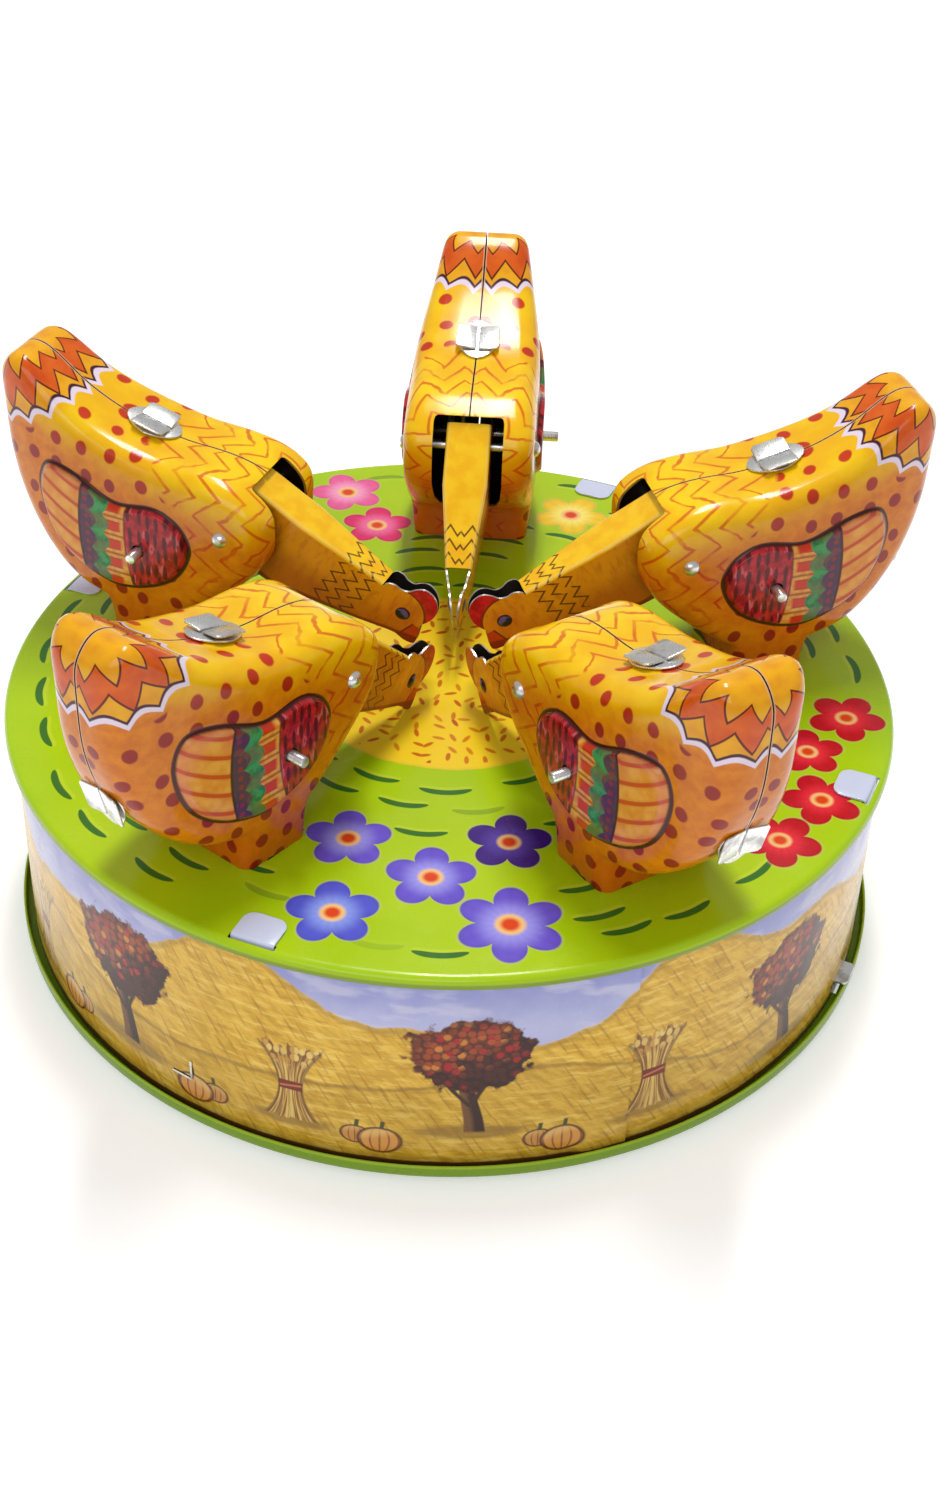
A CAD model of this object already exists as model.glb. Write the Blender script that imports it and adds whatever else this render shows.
"""Dresses the pecking hens: a round printed tin drum with five tin hens that rock their necks."""

import math

import bmesh
import bpy
from mathutils import Matrix, Vector
from mathutils.bvhtree import BVHTree


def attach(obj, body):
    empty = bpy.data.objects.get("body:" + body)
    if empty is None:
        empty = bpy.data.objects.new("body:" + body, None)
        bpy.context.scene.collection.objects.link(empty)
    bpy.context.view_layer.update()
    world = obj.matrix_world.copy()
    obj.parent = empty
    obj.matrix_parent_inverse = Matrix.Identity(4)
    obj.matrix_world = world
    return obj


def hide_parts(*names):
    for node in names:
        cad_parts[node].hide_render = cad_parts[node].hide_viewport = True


# All building below is in millimetres, and a piece becomes metres when it is placed.
METRES = Matrix.Scale(0.001, 4)
CLEAR = 0.3

# Drum, as in the part's source
LID_RADIUS = 89.0
LID_TOP = 50.2
LID_BEND = 1.5
LID_RIM_DEPTH = 2.4
TIN = 0.5
BAND_RADIUS = 87.1
BAND_TIN = 0.4
BAND_LOW = 1.8
BAND_HIGH = 48.4
SEAM_ANGLE = -66.0
LAP_ANGLE = 5.0
JOGGLE_ANGLE = 2.5
TAB_ANGLES = (-19.0, 71.0, 161.0, 251.0)
TAB_WIDTH = 8.4
TAB_LENGTH = 6.8
TAB_RISE = 0.1
TAB_ROUND = 2.4
TAB_BEND = 0.55
TAB_SKIN = 0.04
PAN_RADIUS = 89.4
PAN_TOP = 4.2
LEDGE = 1.0
FLOOR_RADIUS = 77.0
DRUM_STEPS = 180
SLIT_ANGLE = 240.0
SLIT_LONG = 4.5
SLIT_WIDE = 0.6
SLIT_LEVEL = 10.0
CUT_DEPTH = 4.0
FOOT_SLOT = (5.6, 0.68, 3.0)
WIRE_HOLE = 1.3

# Hens: name, place round the drum, how far the head is raised at rest, side where the stop rod stands out
HENS = (
    ("back", 90.0, 4.0, -1),
    ("back_left", 162.0, 11.5, 1),
    ("front_left", 234.0, 0.0, 1),
    ("front_right", 306.0, 0.0, -1),
    ("back_right", 18.0, 11.0, -1),
)
HEN_FLOOR = LID_TOP + CLEAR
BODY = (
    (55.0, 7.5), (47.5, 12.3), (39.5, 18.8), (35.0, 26.0), (35.3, 33.5), (41.0, 38.6), (49.0, 40.6),
    (58.5, 41.3), (71.0, 44.9), (79.5, 49.3), (87.0, 55.3), (91.5, 56.3), (95.7, 51.5), (96.2, 41.5),
    (93.7, 28.0), (88.0, 16.8), (79.5, 9.8), (71.3, 7.5),
)
FOOT_BACK = 70.8
FOOT_FRONT = 55.3
FOOT_LOW = -0.24
FOOT_HIGH = 12.3
FOOT_TAB_PLACE = 63.0
BODY_STEPS = 8
TAIL_SPAN = (8, 14)  # the points of BODY that the tail lies between
BODY_HALF_WIDTH = 13.5
FOOT_HALF_WIDTH = 12.3
TAIL_FROM = 60.0
TAIL_LENGTH = 35.0
TAIL_NARROWING = 5.9
FLANK_SWELL = 0.35
BODY_ROUNDING = 4.6
FOOT_ROUNDING = 2.2
LOW_ROUNDING = 2.6
HALF_GAP = 0.15

# Places where the rounding is tighter, and by how much
TIGHTER = (((92.0, 55.0), 1.9), ((36.5, 34.5), 1.3))
WING = (
    (50.7, 24.0), (52.5, 29.5), (58.0, 32.6), (67.0, 32.0), (77.0, 36.0), (83.2, 36.2),
    (85.6, 30.0), (82.7, 20.5), (76.0, 15.0), (66.5, 12.8), (55.5, 16.6),
)
WING_CENTRE = (68.0, 25.0)
WING_PRESS = 1.3
WING_EDGE = 1.2
PIVOT = (44.0, 29.0)
ROD = (61.7, 22.6)
ROD_HALF = 16.5
ROD_OUT = 18.4
RIVET_HOLE = 1.3
ROD_HOLE = 1.4

# The slot in the breast, as half its width at each height, and the seam's stretches with folded tongues
SLOT = ((5.2, 13.6), (6.0, 15.0), (6.9, 18.5), (7.3, 24.0), (7.3, 37.2), (7.05, 37.8), (6.5, 38.0))
TONGUES = (((58.5, 41.3), (71.0, 44.9)), ((92.7, 28.3), (89.6, 16.3)))
TONGUE_SIZE = 1.12

# Neck, with u ahead of the rivet and v above it
NECK_SLOPE = math.radians(42.2)
NECK_TOP = 8.2
NECK_BEND = 1.0
NECK_TAIL = ((-15.2, -8.0, -10.8), (-13.4, -5.6, -12.5), (-9.5, -0.8, -11.4), (-5.0, 4.6, -9.2))
NECK_UNDER = ((30.3, -3.1), (25.7, -4.5), (16.8, -7.0), (12.0, -8.3), (4.0, -8.7), (-1.5, -8.8))
COMB = (
    (31.2, 8.9), (32.4, 9.3), (33.8, 9.1), (35.2, 9.6), (36.3, 11.1), (37.6, 12.1), (39.2, 12.1),
    (40.8, 11.2), (42.0, 9.4), (42.3, 7.3), (41.8, 5.4), (41.2, 4.0), (41.7, 2.2), (42.3, -0.8),
    (40.4, -1.5), (37.9, -1.2), (34.5, -2.0),
)
COMB_FOOT = (30.7, 8.4)
COMB_END = 42.3
NECK_WIDTHS = ((12.0, 4.65), (30.3, 2.75), (36.0, 1.6), (COMB_END, 0.58))
NECK_CUTS = (12.0, 30.3, 33.0, 36.0, 39.0)
NECK_STEPS = 16
NECK_TIN = 0.4
EYE = (36.9, 4.1)

# Wires, key and lever
TAIL_ARM = 14.0
TAIL_LEVEL = math.radians(7.0)
WIRE_PLACE = PIVOT[0] + TAIL_ARM * math.cos(TAIL_LEVEL)
WIRE_OFFSET = 2.3
WIRE_HOOK = 3.6
WIRE_RADIUS = 0.5
ROCKER_LEVEL = 42.5
KEY_PLACE = (-4.0, 19.5)
KEY_OUT = 90.5
KEY_TURN = 25.0
KEY_BORE = 1.9
KEY_HOLE = 3.5
KEY_TOP = 9.0
EAR = (7.6, 7.2)
EAR_RADIUS = 5.35
EAR_EYE = 3.2
EAR_HALF_TIN = 0.66
BUSH_FACE = 87.6
LEVER_ANGLE = -20.0
LEVER_PIVOT = 62.0
LEVER_TIP = 91.0
LEVER_END = 89.7
LEVER_CORNER = 1.1
LEVER_LEVEL = 4.5
LEVER_TIN = 0.7
LEVER_HOLE = 1.9
LEVER_SWING = 5.0
LEVER_HALF_WIDTH = 3.25
LEVER_NECK = 1.62
LEVER_INNER = 11.6

# Mainspring, in the plane of the motor's plates
SPRING_MIDDLE = 30.5
SPRING_WIDTH = 7.0
SPRING_TIN = 0.4
SPRING_INNER = 2.2
SPRING_OUTER = 9.6
SPRING_TURNS = 3
SPRING_END = 141.8
SPRING_REACH = 12.5

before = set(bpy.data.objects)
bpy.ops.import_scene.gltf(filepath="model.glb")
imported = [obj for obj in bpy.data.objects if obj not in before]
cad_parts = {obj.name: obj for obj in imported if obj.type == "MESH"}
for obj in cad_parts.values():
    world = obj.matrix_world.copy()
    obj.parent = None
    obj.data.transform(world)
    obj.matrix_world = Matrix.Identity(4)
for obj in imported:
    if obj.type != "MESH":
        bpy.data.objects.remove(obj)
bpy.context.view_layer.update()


def polar(radius, degrees):
    angle = math.radians(degrees)
    return radius * math.cos(angle), radius * math.sin(angle)


# Sums in a material
class Ink:
    """A number or colour on its way through a material, so that a printed pattern is written as sums."""

    def __init__(self, tree, socket):
        self.tree = tree
        self.socket = socket

    def __abs__(self):
        return maths("ABSOLUTE", self)

    def __pow__(self, other):
        return maths("POWER", self, other)


for sign, operation in {"add": "ADD", "sub": "SUBTRACT", "mul": "MULTIPLY", "truediv": "DIVIDE"}.items():
    setattr(Ink, f"__{sign}__", lambda self, other, kind=operation: maths(kind, self, other))
    setattr(Ink, f"__r{sign}__", lambda self, other, kind=operation: maths(kind, other, self))


def tree_of(*values):
    """The node tree that the first number or colour belongs to."""
    return next(value.tree for value in values if isinstance(value, Ink))


def feed(tree, socket, value):
    if isinstance(value, Ink):
        tree.links.new(value.socket, socket)
    elif isinstance(value, tuple) and len(value) == 3 and socket.type == "RGBA":
        socket.default_value = (*value, 1.0)
    else:
        socket.default_value = value


def add_node(tree, kind, inputs=(), **settings):
    made = tree.nodes.new(kind)
    for name, value in settings.items():
        setattr(made, name, value)
    for name, value in inputs:
        feed(tree, made.inputs[name], value)
    return made


def maths(kind, *values):
    tree = tree_of(*values)
    made = add_node(tree, "ShaderNodeMath", list(enumerate(values)), operation=kind)
    return Ink(tree, made.outputs[0])


def lower(a, b):
    return maths("MINIMUM", a, b)


def higher(a, b):
    return maths("MAXIMUM", a, b)


def length(x, y):
    return maths("SQRT", x * x + y * y)


def over(value, edge, blur):
    """A mask that is 1 where the value is over the edge, with a soft step as wide as the blur."""
    ends = [("Value", value), ("From Min", edge - blur / 2), ("From Max", edge + blur / 2)]
    made = add_node(value.tree, "ShaderNodeMapRange", ends, interpolation_type="SMOOTHSTEP", clamp=True)
    return Ink(value.tree, made.outputs["Result"])


def under(value, edge, blur):
    return 1.0 - over(value, edge, blur)


def between(value, low, high, blur):
    return over(value, low, blur) * under(value, high, blur)


def line(value, width, blur):
    """A mask along the places where the value is 0."""
    return under(abs(value), width / 2, blur)


def zigzag(value, period):
    """Runs from -1 to 1 and back in straight slopes."""
    return maths("PINGPONG", value, period / 2) * (4.0 / period) - 1.0


def ellipse(x, y, wide, high, blur):
    return under(length(x / wide, y / high), 1.0, blur)


def turn_by(x, y, angle):
    cosine, sine = maths("COSINE", angle), maths("SINE", angle)
    return x * cosine + y * sine, y * cosine - x * sine


def vector(x, y, z=0.0):
    tree = tree_of(x, y, z)
    made = add_node(tree, "ShaderNodeCombineXYZ", [("X", x), ("Y", y), ("Z", z)])
    return Ink(tree, made.outputs[0])


def parts(value):
    made = add_node(value.tree, "ShaderNodeSeparateXYZ", [("Vector", value)])
    return [Ink(value.tree, socket) for socket in made.outputs]


def noise(place, scale, detail=2.0, rough=0.5):
    settings = [("Vector", place), ("Scale", scale), ("Detail", detail), ("Roughness", rough)]
    made = add_node(place.tree, "ShaderNodeTexNoise", settings)
    return Ink(place.tree, made.outputs["Factor" if "Factor" in made.outputs else "Fac"])


def cells(x, y, size, uneven):
    """Scattered spots in a plane: how far a point is from its spot, both ways, and two chances per spot."""
    place = vector(x, y)
    settings = [("Vector", place), ("Scale", 1.0 / size), ("Randomness", uneven)]
    made = add_node(place.tree, "ShaderNodeTexVoronoi", settings, voronoi_dimensions="2D")
    spot_x, spot_y, _ = parts(Ink(place.tree, made.outputs["Position"]))
    first, second, _ = parts(Ink(place.tree, made.outputs["Color"]))
    return x - spot_x, y - spot_y, first, second


def chance(place):
    made = add_node(place.tree, "ShaderNodeTexWhiteNoise", [("Vector", place)])
    return [Ink(place.tree, made.outputs["Value"])] + parts(Ink(place.tree, made.outputs["Color"]))[:2]


def mixed(mask, first, second):
    """The first colour where the mask is 0 and the second where it is 1."""
    tree = tree_of(mask, first, second)
    made = add_node(tree, "ShaderNodeMix", data_type="RGBA", clamp_factor=True)
    feed(tree, made.inputs[0], mask)
    feed(tree, made.inputs[6], first)
    feed(tree, made.inputs[7], second)
    return Ink(tree, made.outputs[2])


def tinted(colour, value):
    """A colour made lighter or darker by a number near 1."""
    tree = tree_of(colour, value)
    made = add_node(tree, "ShaderNodeMix", data_type="RGBA", blend_type="MULTIPLY")
    made.inputs[0].default_value = 1.0
    feed(tree, made.inputs[6], colour)
    feed(tree, made.inputs[7], vector(value, value, value) if isinstance(value, Ink) else (value,) * 3)
    return Ink(tree, made.outputs[2])


def mottled(place, scale, detail, first, second, edge=0.5, blur=0.3):
    """Two colours in soft patches."""
    return mixed(over(noise(place, scale, detail), edge, blur), first, second)


def rgb(red, green, blue):
    """A colour as it looks on a screen, from 0 to 255, in the values that materials take."""
    shares = [value / 255 for value in (red, green, blue)]
    return tuple(s / 12.92 if s <= 0.04045 else ((s + 0.055) / 1.055) ** 2.4 for s in shares)


def object_place(tree):
    """The point on the object, in millimetres."""
    made = add_node(tree, "ShaderNodeTexCoord")
    inputs = [(0, Ink(tree, made.outputs["Object"])), ("Scale", 1000.0)]
    scaled = add_node(tree, "ShaderNodeVectorMath", inputs, operation="SCALE")
    return Ink(tree, scaled.outputs[0])


def own_value(tree, name, output="Vector"):
    made = add_node(tree, "ShaderNodeAttribute", attribute_name=name)
    return Ink(tree, made.outputs[output])


def group_of(name, kind, inputs, outputs):
    """An empty node group. Each input is (name, kind, value or None), and each output is (name, kind)."""
    tree = bpy.data.node_groups.new(name, kind)
    for label, kind, value in inputs:
        socket = tree.interface.new_socket(label, in_out="INPUT", socket_type="NodeSocket" + kind)
        if value is not None:
            socket.default_value = value
    for label, kind in outputs:
        tree.interface.new_socket(label, in_out="OUTPUT", socket_type="NodeSocket" + kind)
    start = tree.nodes.new("NodeGroupInput")
    end = tree.nodes.new("NodeGroupOutput")
    return tree, [Ink(tree, start.outputs[label]) for label, _, _ in inputs], end


def shared(name, inputs, outputs, draw):
    """A node group that materials share."""
    tree, values, end = group_of(name, "ShaderNodeTree", inputs, outputs)
    for (label, _), result in zip(outputs, draw(*values)):
        tree.links.new(result.socket, end.inputs[label])
    return tree


def use(group, *values):
    """Puts a shared group in a material and gives its results."""
    tree = tree_of(*values)
    made = tree.nodes.new("ShaderNodeGroup")
    made.node_tree = group
    for socket, value in zip(made.inputs, values):
        feed(tree, socket, value)
    return [Ink(tree, socket) for socket in made.outputs]


def finish(name, draw, **constants):
    """A material whose colour, roughness, metal and height are drawn. Its other settings are constants."""
    made = bpy.data.materials.new(name)
    made.use_nodes = True
    tree = made.node_tree
    shader = tree.nodes["Principled BSDF"]
    for label, value in constants.items():
        shader.inputs[label].default_value = value
    colour, rough, metal, height, depth = draw(tree)
    feed(tree, shader.inputs["Base Color"], colour)
    feed(tree, shader.inputs["Roughness"], rough)
    feed(tree, shader.inputs["Metallic"], metal)
    bump = add_node(tree, "ShaderNodeBump", [("Height", height)])
    bump.inputs["Strength"].default_value = 1.0
    bump.inputs["Distance"].default_value = depth
    tree.links.new(bump.outputs["Normal"], shader.inputs["Normal"])
    return made


# Effects that several materials share
def draw_sheet(place, scale):
    """Printed tin: slow unevenness of tone, fine grain, smudges, and the shallow waves of pressed sheet."""
    slow = noise(place, 0.05, 3.0)
    grain = noise(place, 2.6, 2.0)
    tone = 0.9 + slow * 0.14 + grain * 0.06
    smudge = over(noise(place, 0.11, 4.0, 0.6), 0.56, 0.3)
    wave = noise(place, 0.075, 1.0) + noise(place, 1.1, 2.0) * 0.025
    return tone, smudge, wave * scale


def draw_wear(place, amount):
    """Small chips and hairline scratches where the print has gone."""
    chips = over(noise(place, 1.5, 3.0, 0.65), 0.74, 0.04)
    x, y, z = parts(place)
    lines = over(noise(vector(x * 3.0, y * 0.16, z * 3.0), 0.9, 2.0), 0.79, 0.03)
    where = over(noise(place, 0.09, 2.0), 0.55, 0.12)
    return (higher(chips, lines) * where * amount,)


def draw_metal(place, stretch):
    """Bare metal: rolling lines, smudges and a few darker stains."""
    x, y, z = parts(place)
    lines = noise(vector(x * stretch, y, z), 1.6, 3.0, 0.6)
    stain = over(noise(place, 0.25, 4.0, 0.6), 0.58, 0.2)
    return 0.86 + lines * 0.2 - stain * 0.16, stain, lines


def draw_flower(below, place, centre, size, turn, petals, inner, outer):
    """A flower with round petals, soft at its edge, paler in its middle, with a warm eye."""
    x, y, _ = parts(place)
    centre_x, centre_y, _ = parts(centre)
    x, y = (x - centre_x) / size, (y - centre_y) / size
    reach = length(x, y)
    angle = maths("ARCTAN2", y, x) + turn
    lobes = abs(maths("COSINE", angle * petals * 0.5))
    edge = 0.6 + 0.4 * lobes**0.75
    inside = edge - reach
    colour = mixed(over(inside, -0.02, 0.08) * 0.55, below, rgb(196, 206, 120))
    vein = 0.96 + 0.07 * abs(maths("SINE", angle * petals * 1.5))
    petal = mixed(over(reach, 0.5, 0.5), inner, outer)
    petal = tinted(petal, vein - under(inside, 0.1, 0.2) * 0.14)
    colour = mixed(over(inside, 0.02, 0.05), colour, petal)
    colour = mixed(under(reach, 0.27, 0.1), colour, rgb(250, 204, 130))
    return (mixed(under(reach, 0.165, 0.12), colour, rgb(228, 70, 16)),)


SHEET = shared(
    "pressed_sheet",
    [("Place", "Vector", None), ("Scale", "Float", 1.0)],
    [("Tone", "Float"), ("Smudge", "Float"), ("Height", "Float")],
    draw_sheet,
)
WEAR = shared(
    "worn_print", [("Place", "Vector", None), ("Amount", "Float", 1.0)], [("Bare", "Float")], draw_wear
)
METAL = shared(
    "rolled_metal",
    [("Place", "Vector", None), ("Stretch", "Float", 1.0)],
    [("Tone", "Float"), ("Stain", "Float"), ("Height", "Float")],
    draw_metal,
)
FLOWER = shared(
    "flower",
    [
        ("Below", "Color", None), ("Place", "Vector", None), ("Centre", "Vector", None),
        ("Size", "Float", 6.0), ("Turn", "Float", 0.0), ("Petals", "Float", 5.0),
        ("Inner", "Color", None), ("Outer", "Color", None),
    ],
    [("Colour", "Color")],
    draw_flower,
)
BARE_TIN = rgb(196, 194, 188)


def worn_print(colour, place, wear, rough, smudged, bare_share=0.8, lighter=0.0):
    """A print on pressed sheet, worn to the tin in places."""
    tone, smudge, height = use(SHEET, place, 1.0)
    (bare,) = use(WEAR, place, wear)
    colour = mixed(bare, tinted(colour, tone + lighter), BARE_TIN)
    return colour, rough + smudge * smudged, bare * bare_share, height, 0.0002


# Flowers on the lid: distance from the centre, angle, size, turn, petals, then the inner and outer colour
VIOLET = (rgb(160, 158, 246), rgb(108, 88, 212))
BLUE = (rgb(140, 164, 246), rgb(84, 92, 214))
DARK_VIOLET = (rgb(92, 70, 178), rgb(66, 32, 132))
PALE_PINK = (rgb(250, 168, 206), rgb(238, 100, 158))
PINK = (rgb(244, 118, 170), rgb(226, 44, 108))
YELLOW = (rgb(255, 240, 120), rgb(244, 206, 40))
RED = (rgb(236, 44, 62), rgb(196, 12, 34))
FLOWERS = (
    (54.7, -105.9, 8.3, -0.36, 5, VIOLET), (62.1, -89.1, 8.6, -0.36, 5, VIOLET),
    (52.8, -74.1, 8.2, -0.3, 5, DARK_VIOLET), (75.0, -101.9, 8.7, -0.42, 5, BLUE),
    (75.2, -77.8, 10.2, 0.49, 6, VIOLET), (77.5, 112.0, 8.4, 0.55, 5, PALE_PINK),
    (61.8, 109.8, 8.0, -0.36, 5, PINK), (71.0, 71.8, 8.4, 0.2, 5, YELLOW),
    (56.9, 59.2, 8.0, 0.7, 5, YELLOW), (79.4, -3.7, 8.0, 0.2, 5, RED),
    (79.6, -23.9, 8.0, 0.6, 5, RED), (73.0, -13.6, 7.4, 0.9, 5, RED), (78.6, -35.1, 8.0, 0.3, 5, RED),
)
GRASS_START = 33.0
GRASS_RING = 6.6
GRASS_SHIFT = 0.37
STROKES_PER_MM = 0.42
STROKE_REACH = 5.0
STROKE_BEND = 0.032
STROKE_THICK = 0.74
GRAIN_RADIUS = 31.0
GRAIN_CELL = 3.5


def grass(reach, angle):
    """Masks of the strokes and of their pale shade, in rings of cells. None would meet a flower."""
    ring = maths("FLOOR", (reach - GRASS_START) / GRASS_RING)
    middle = ring * GRASS_RING + (GRASS_START + GRASS_RING / 2)
    count = maths("FLOOR", middle * STROKES_PER_MM)
    share = angle / (2 * math.pi) * count + ring * GRASS_SHIFT
    cell = maths("FLOOR", share)
    lot, lot_x, lot_y = chance(vector(ring, maths("FLOORED_MODULO", cell, count)))
    drift = (lot_x - 0.5) * 4.4
    own_reach = middle - (lot_y - 0.5) * 2.2
    along = (share - cell - 0.5) / count * middle * (2 * math.pi) + drift
    own_angle = (cell + 0.5 - ring * GRASS_SHIFT) / count * (2 * math.pi) - drift / middle
    own_x, own_y = own_reach * maths("COSINE", own_angle), own_reach * maths("SINE", own_angle)
    across = reach - own_reach + along * along * STROKE_BEND
    thick = STROKE_THICK * (1.0 - abs(along / (STROKE_REACH + 0.3)) ** 5.0)
    stroke = under(abs(across) - thick, 0.0, 0.22) * under(abs(along), STROKE_REACH, 0.3)
    shade = under(abs(across + 0.7) - thick * 1.1, 0.0, 0.5) * under(abs(along), STROKE_REACH + 0.2, 0.6)
    clear = over(lot, 0.07, 0.02) * over(reach, GRASS_START + 1.0, 0.5) * under(reach, 86.0, 0.5)
    for away, degrees, size, *_ in FLOWERS:
        spot_x, spot_y = polar(away, degrees)
        clear = clear * over(length((own_x - spot_x) * 0.75, own_y - spot_y), size + 1.2, 0.1)
    return stroke * clear, shade * clear


def draw_lid(tree):
    place = object_place(tree)
    x, y, z = parts(place)
    reach = length(x, y)
    angle = maths("ARCTAN2", y, x)
    tone, smudge, height = use(SHEET, place, 1.0)
    colour = mottled(place, 0.03, 2.0, rgb(168, 208, 10), rgb(182, 216, 14), blur=0.5)

    stroke, shade = grass(reach, angle)
    colour = mixed(shade * 0.5, colour, rgb(206, 226, 60))
    colour = mixed(stroke * 0.95, colour, rgb(32, 108, 34))

    # Grain in the middle
    edge = reach + noise(place, 0.16, 2.0) * 1.6
    colour = mixed(under(edge, GRAIN_RADIUS, 0.5), colour, rgb(232, 206, 50))
    colour = mixed(under(edge, GRAIN_RADIUS - 0.5, 1.2), colour, rgb(250, 216, 40))
    dash_x, dash_y, lot_x, lot_y = cells(x, y, GRAIN_CELL, 0.8)
    dash_x, dash_y = turn_by(dash_x, dash_y, lot_x * 3.14)
    dash = ellipse(dash_x, dash_y, 1.3, 0.46, 0.5) * under(edge, GRAIN_RADIUS - 1.7, 0.6)
    colour = mixed(dash * (0.7 + 0.3 * lot_y), colour, mixed(lot_y, rgb(214, 116, 16), rgb(196, 84, 18)))

    for away, degrees, size, turn, petals, (inner, outer) in FLOWERS:
        centre = (*polar(away, degrees), 0.0)
        looks = (size, turn, float(petals), (*inner, 1.0), (*outer, 1.0))
        (colour,) = use(FLOWER, colour, place, centre, *looks)

    # The rolled rim is printed darker under its bend
    colour = mixed(under(z, LID_TOP - 1.35, 0.7) * over(reach, 87.0, 0.5), colour, rgb(136, 160, 34))
    (bare,) = use(WEAR, place, 0.55)
    bare = lower(bare * (over(reach, 86.6, 1.0) + 0.35), 1.0)
    colour = mixed(bare, tinted(colour, tone), BARE_TIN)
    return colour, 0.2 + smudge * 0.1 + bare * 0.1, bare * 0.8, height, 0.00022


def draw_pan(tree):
    place = object_place(tree)
    _, _, z = parts(place)
    tone, smudge, height = use(SHEET, place, 1.0)
    (bare,) = use(WEAR, place, 1.0)
    rim = over(z, PAN_TOP - 0.5, 0.4)
    under_side = under(z, 0.9, 0.4)
    colour = mixed(rim, rgb(128, 166, 22), rgb(160, 196, 34))
    colour = mixed(under_side * 0.8, colour, rgb(150, 160, 120))
    bare = lower(bare * (0.4 + rim), 1.0)
    colour = mixed(bare, tinted(colour, tone), BARE_TIN)
    return colour, 0.26 + smudge * 0.16, bare * 0.8, height, 0.0002


# The band's picture: hills and sky, with trees, sheaves and gourds in two rows
def draw_tree(below, place):
    """An autumn tree in dabs of paint, standing at the origin of its place."""
    x, z, seed = parts(place)
    rough = noise(place, 0.3, 3.0)
    colour = mixed(ellipse(x, z - 7.6, 10.0, 1.7, 0.7) * 0.7, below, rgb(142, 106, 44))
    bend = x - maths("SINE", z * 0.22) * 0.9
    trunk = line(bend, (2.3 - z * 0.05) * 2.0, 0.4) * between(z, 7.6, 23.0, 0.8)
    colour = mixed(trunk, colour, mixed(over(bend, -0.2, 1.2), rgb(122, 82, 48), rgb(58, 34, 24)))
    fork = line(abs(bend) - (z - 14.0) * 0.62, 1.0, 0.5) * between(z, 14.0, 22.0, 0.6)
    colour = mixed(fork, colour, rgb(64, 38, 26))
    crown = length(x / 1.28, z - 26.4) + (rough - 0.5) * 7.0
    leaf_x, leaf_z, lot, hue = cells(x + seed * 40.0, z, 1.5, 0.9)
    dab = length(leaf_x, leaf_z)
    light = over(z - x * 0.5 + lot * 9.0 - 26.0, 4.0, 7.0)
    leaves = mixed(light, rgb(76, 32, 24), rgb(168, 74, 32))
    leaves = mixed(over(hue, 0.74, 0.1) * over(light, 0.3, 0.4), leaves, rgb(214, 132, 56))
    leaves = mixed(over(lot, 0.84, 0.08), leaves, rgb(172, 36, 38))
    leaves = mixed(over(dab, 0.72, 0.4) * 0.7, leaves, rgb(40, 18, 18))
    leaves = mixed(over(crown, 7.0, 2.0) * 0.55, leaves, rgb(46, 20, 18))
    return (mixed(under(crown, 8.7, 0.8), colour, leaves),)


def draw_sheaf(below, place):
    """A tied sheaf of wheat."""
    x, z, seed = parts(place)
    colour = mixed(ellipse(x, z - 6.6, 8.5, 1.4, 0.7) * 0.7, below, rgb(150, 112, 46))
    rise = z - 15.5
    wide = 2.5 + rise * rise * 0.042
    share = x / wide
    ragged = noise(vector(share * 2.4, seed), 2.2, 2.0) * 7.0
    shape = under(abs(share), 1.0, 0.16) * over(z + ragged * 0.35, 8.2, 0.5) * under(z + ragged, 29.5, 0.6)
    straw = noise(vector(share * 6.0, z * 0.06, seed), 1.5, 3.0)
    inside = mixed(over(straw, 0.5, 0.22), rgb(150, 96, 42), rgb(236, 200, 108))
    ear_x, ear_z, lot, _ = cells(x + seed * 9.0, z * 0.62, 1.35, 0.8)
    ears = over(z, 21.5, 2.5) * ellipse(ear_x, ear_z, 0.62, 0.58, 0.4)
    inside = mixed(over(z, 22.0, 3.0) * 0.45, inside, rgb(122, 74, 34))
    inside = mixed(ears, inside, mixed(lot, rgb(246, 214, 122), rgb(206, 146, 62)))
    inside = mixed(between(z, 14.6, 16.9, 0.3), inside, rgb(128, 44, 30))
    inside = mixed(line(z - 15.7 - x * 0.15, 0.5, 0.3), inside, rgb(206, 120, 72))
    inside = mixed(over(abs(share), 0.86, 0.14) * 0.7, inside, rgb(92, 56, 28))
    return (mixed(shape, colour, inside),)


def draw_gourd(below, place):
    """A small ribbed gourd, with one behind it."""
    x, z, _ = parts(place)
    colour = below
    for aside, up, wide, high, light in ((-4.6, 6.4, 2.9, 2.3, 0.86), (0.0, 5.6, 4.3, 3.3, 1.0)):
        here, over_it = x - aside, z - up
        shape = ellipse(here, over_it, wide, high, 0.16)
        bulge = maths("SQRT", higher(1.0 - (over_it / high) ** 2.0, 0.05))
        rib = abs(maths("SINE", here / bulge * (7.6 / wide)))
        skin = mixed(under(rib, 0.34, 0.4) * 0.8, rgb(226, 158, 74), rgb(146, 74, 34))
        skin = mixed(over(over_it - here * 0.3, 1.2, 2.0) * 0.6, skin, rgb(246, 206, 130))
        skin = mixed(over(length(here / wide, over_it / high), 0.86, 0.16), skin, rgb(96, 50, 26))
        colour = mixed(shape, colour, tinted(skin, light))
        stem = line(here - over_it * 0.12, 0.8, 0.3) * between(over_it, high - 0.4, high + 1.5, 0.3)
        colour = mixed(stem, colour, rgb(78, 84, 36))
    return (colour,)


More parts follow.
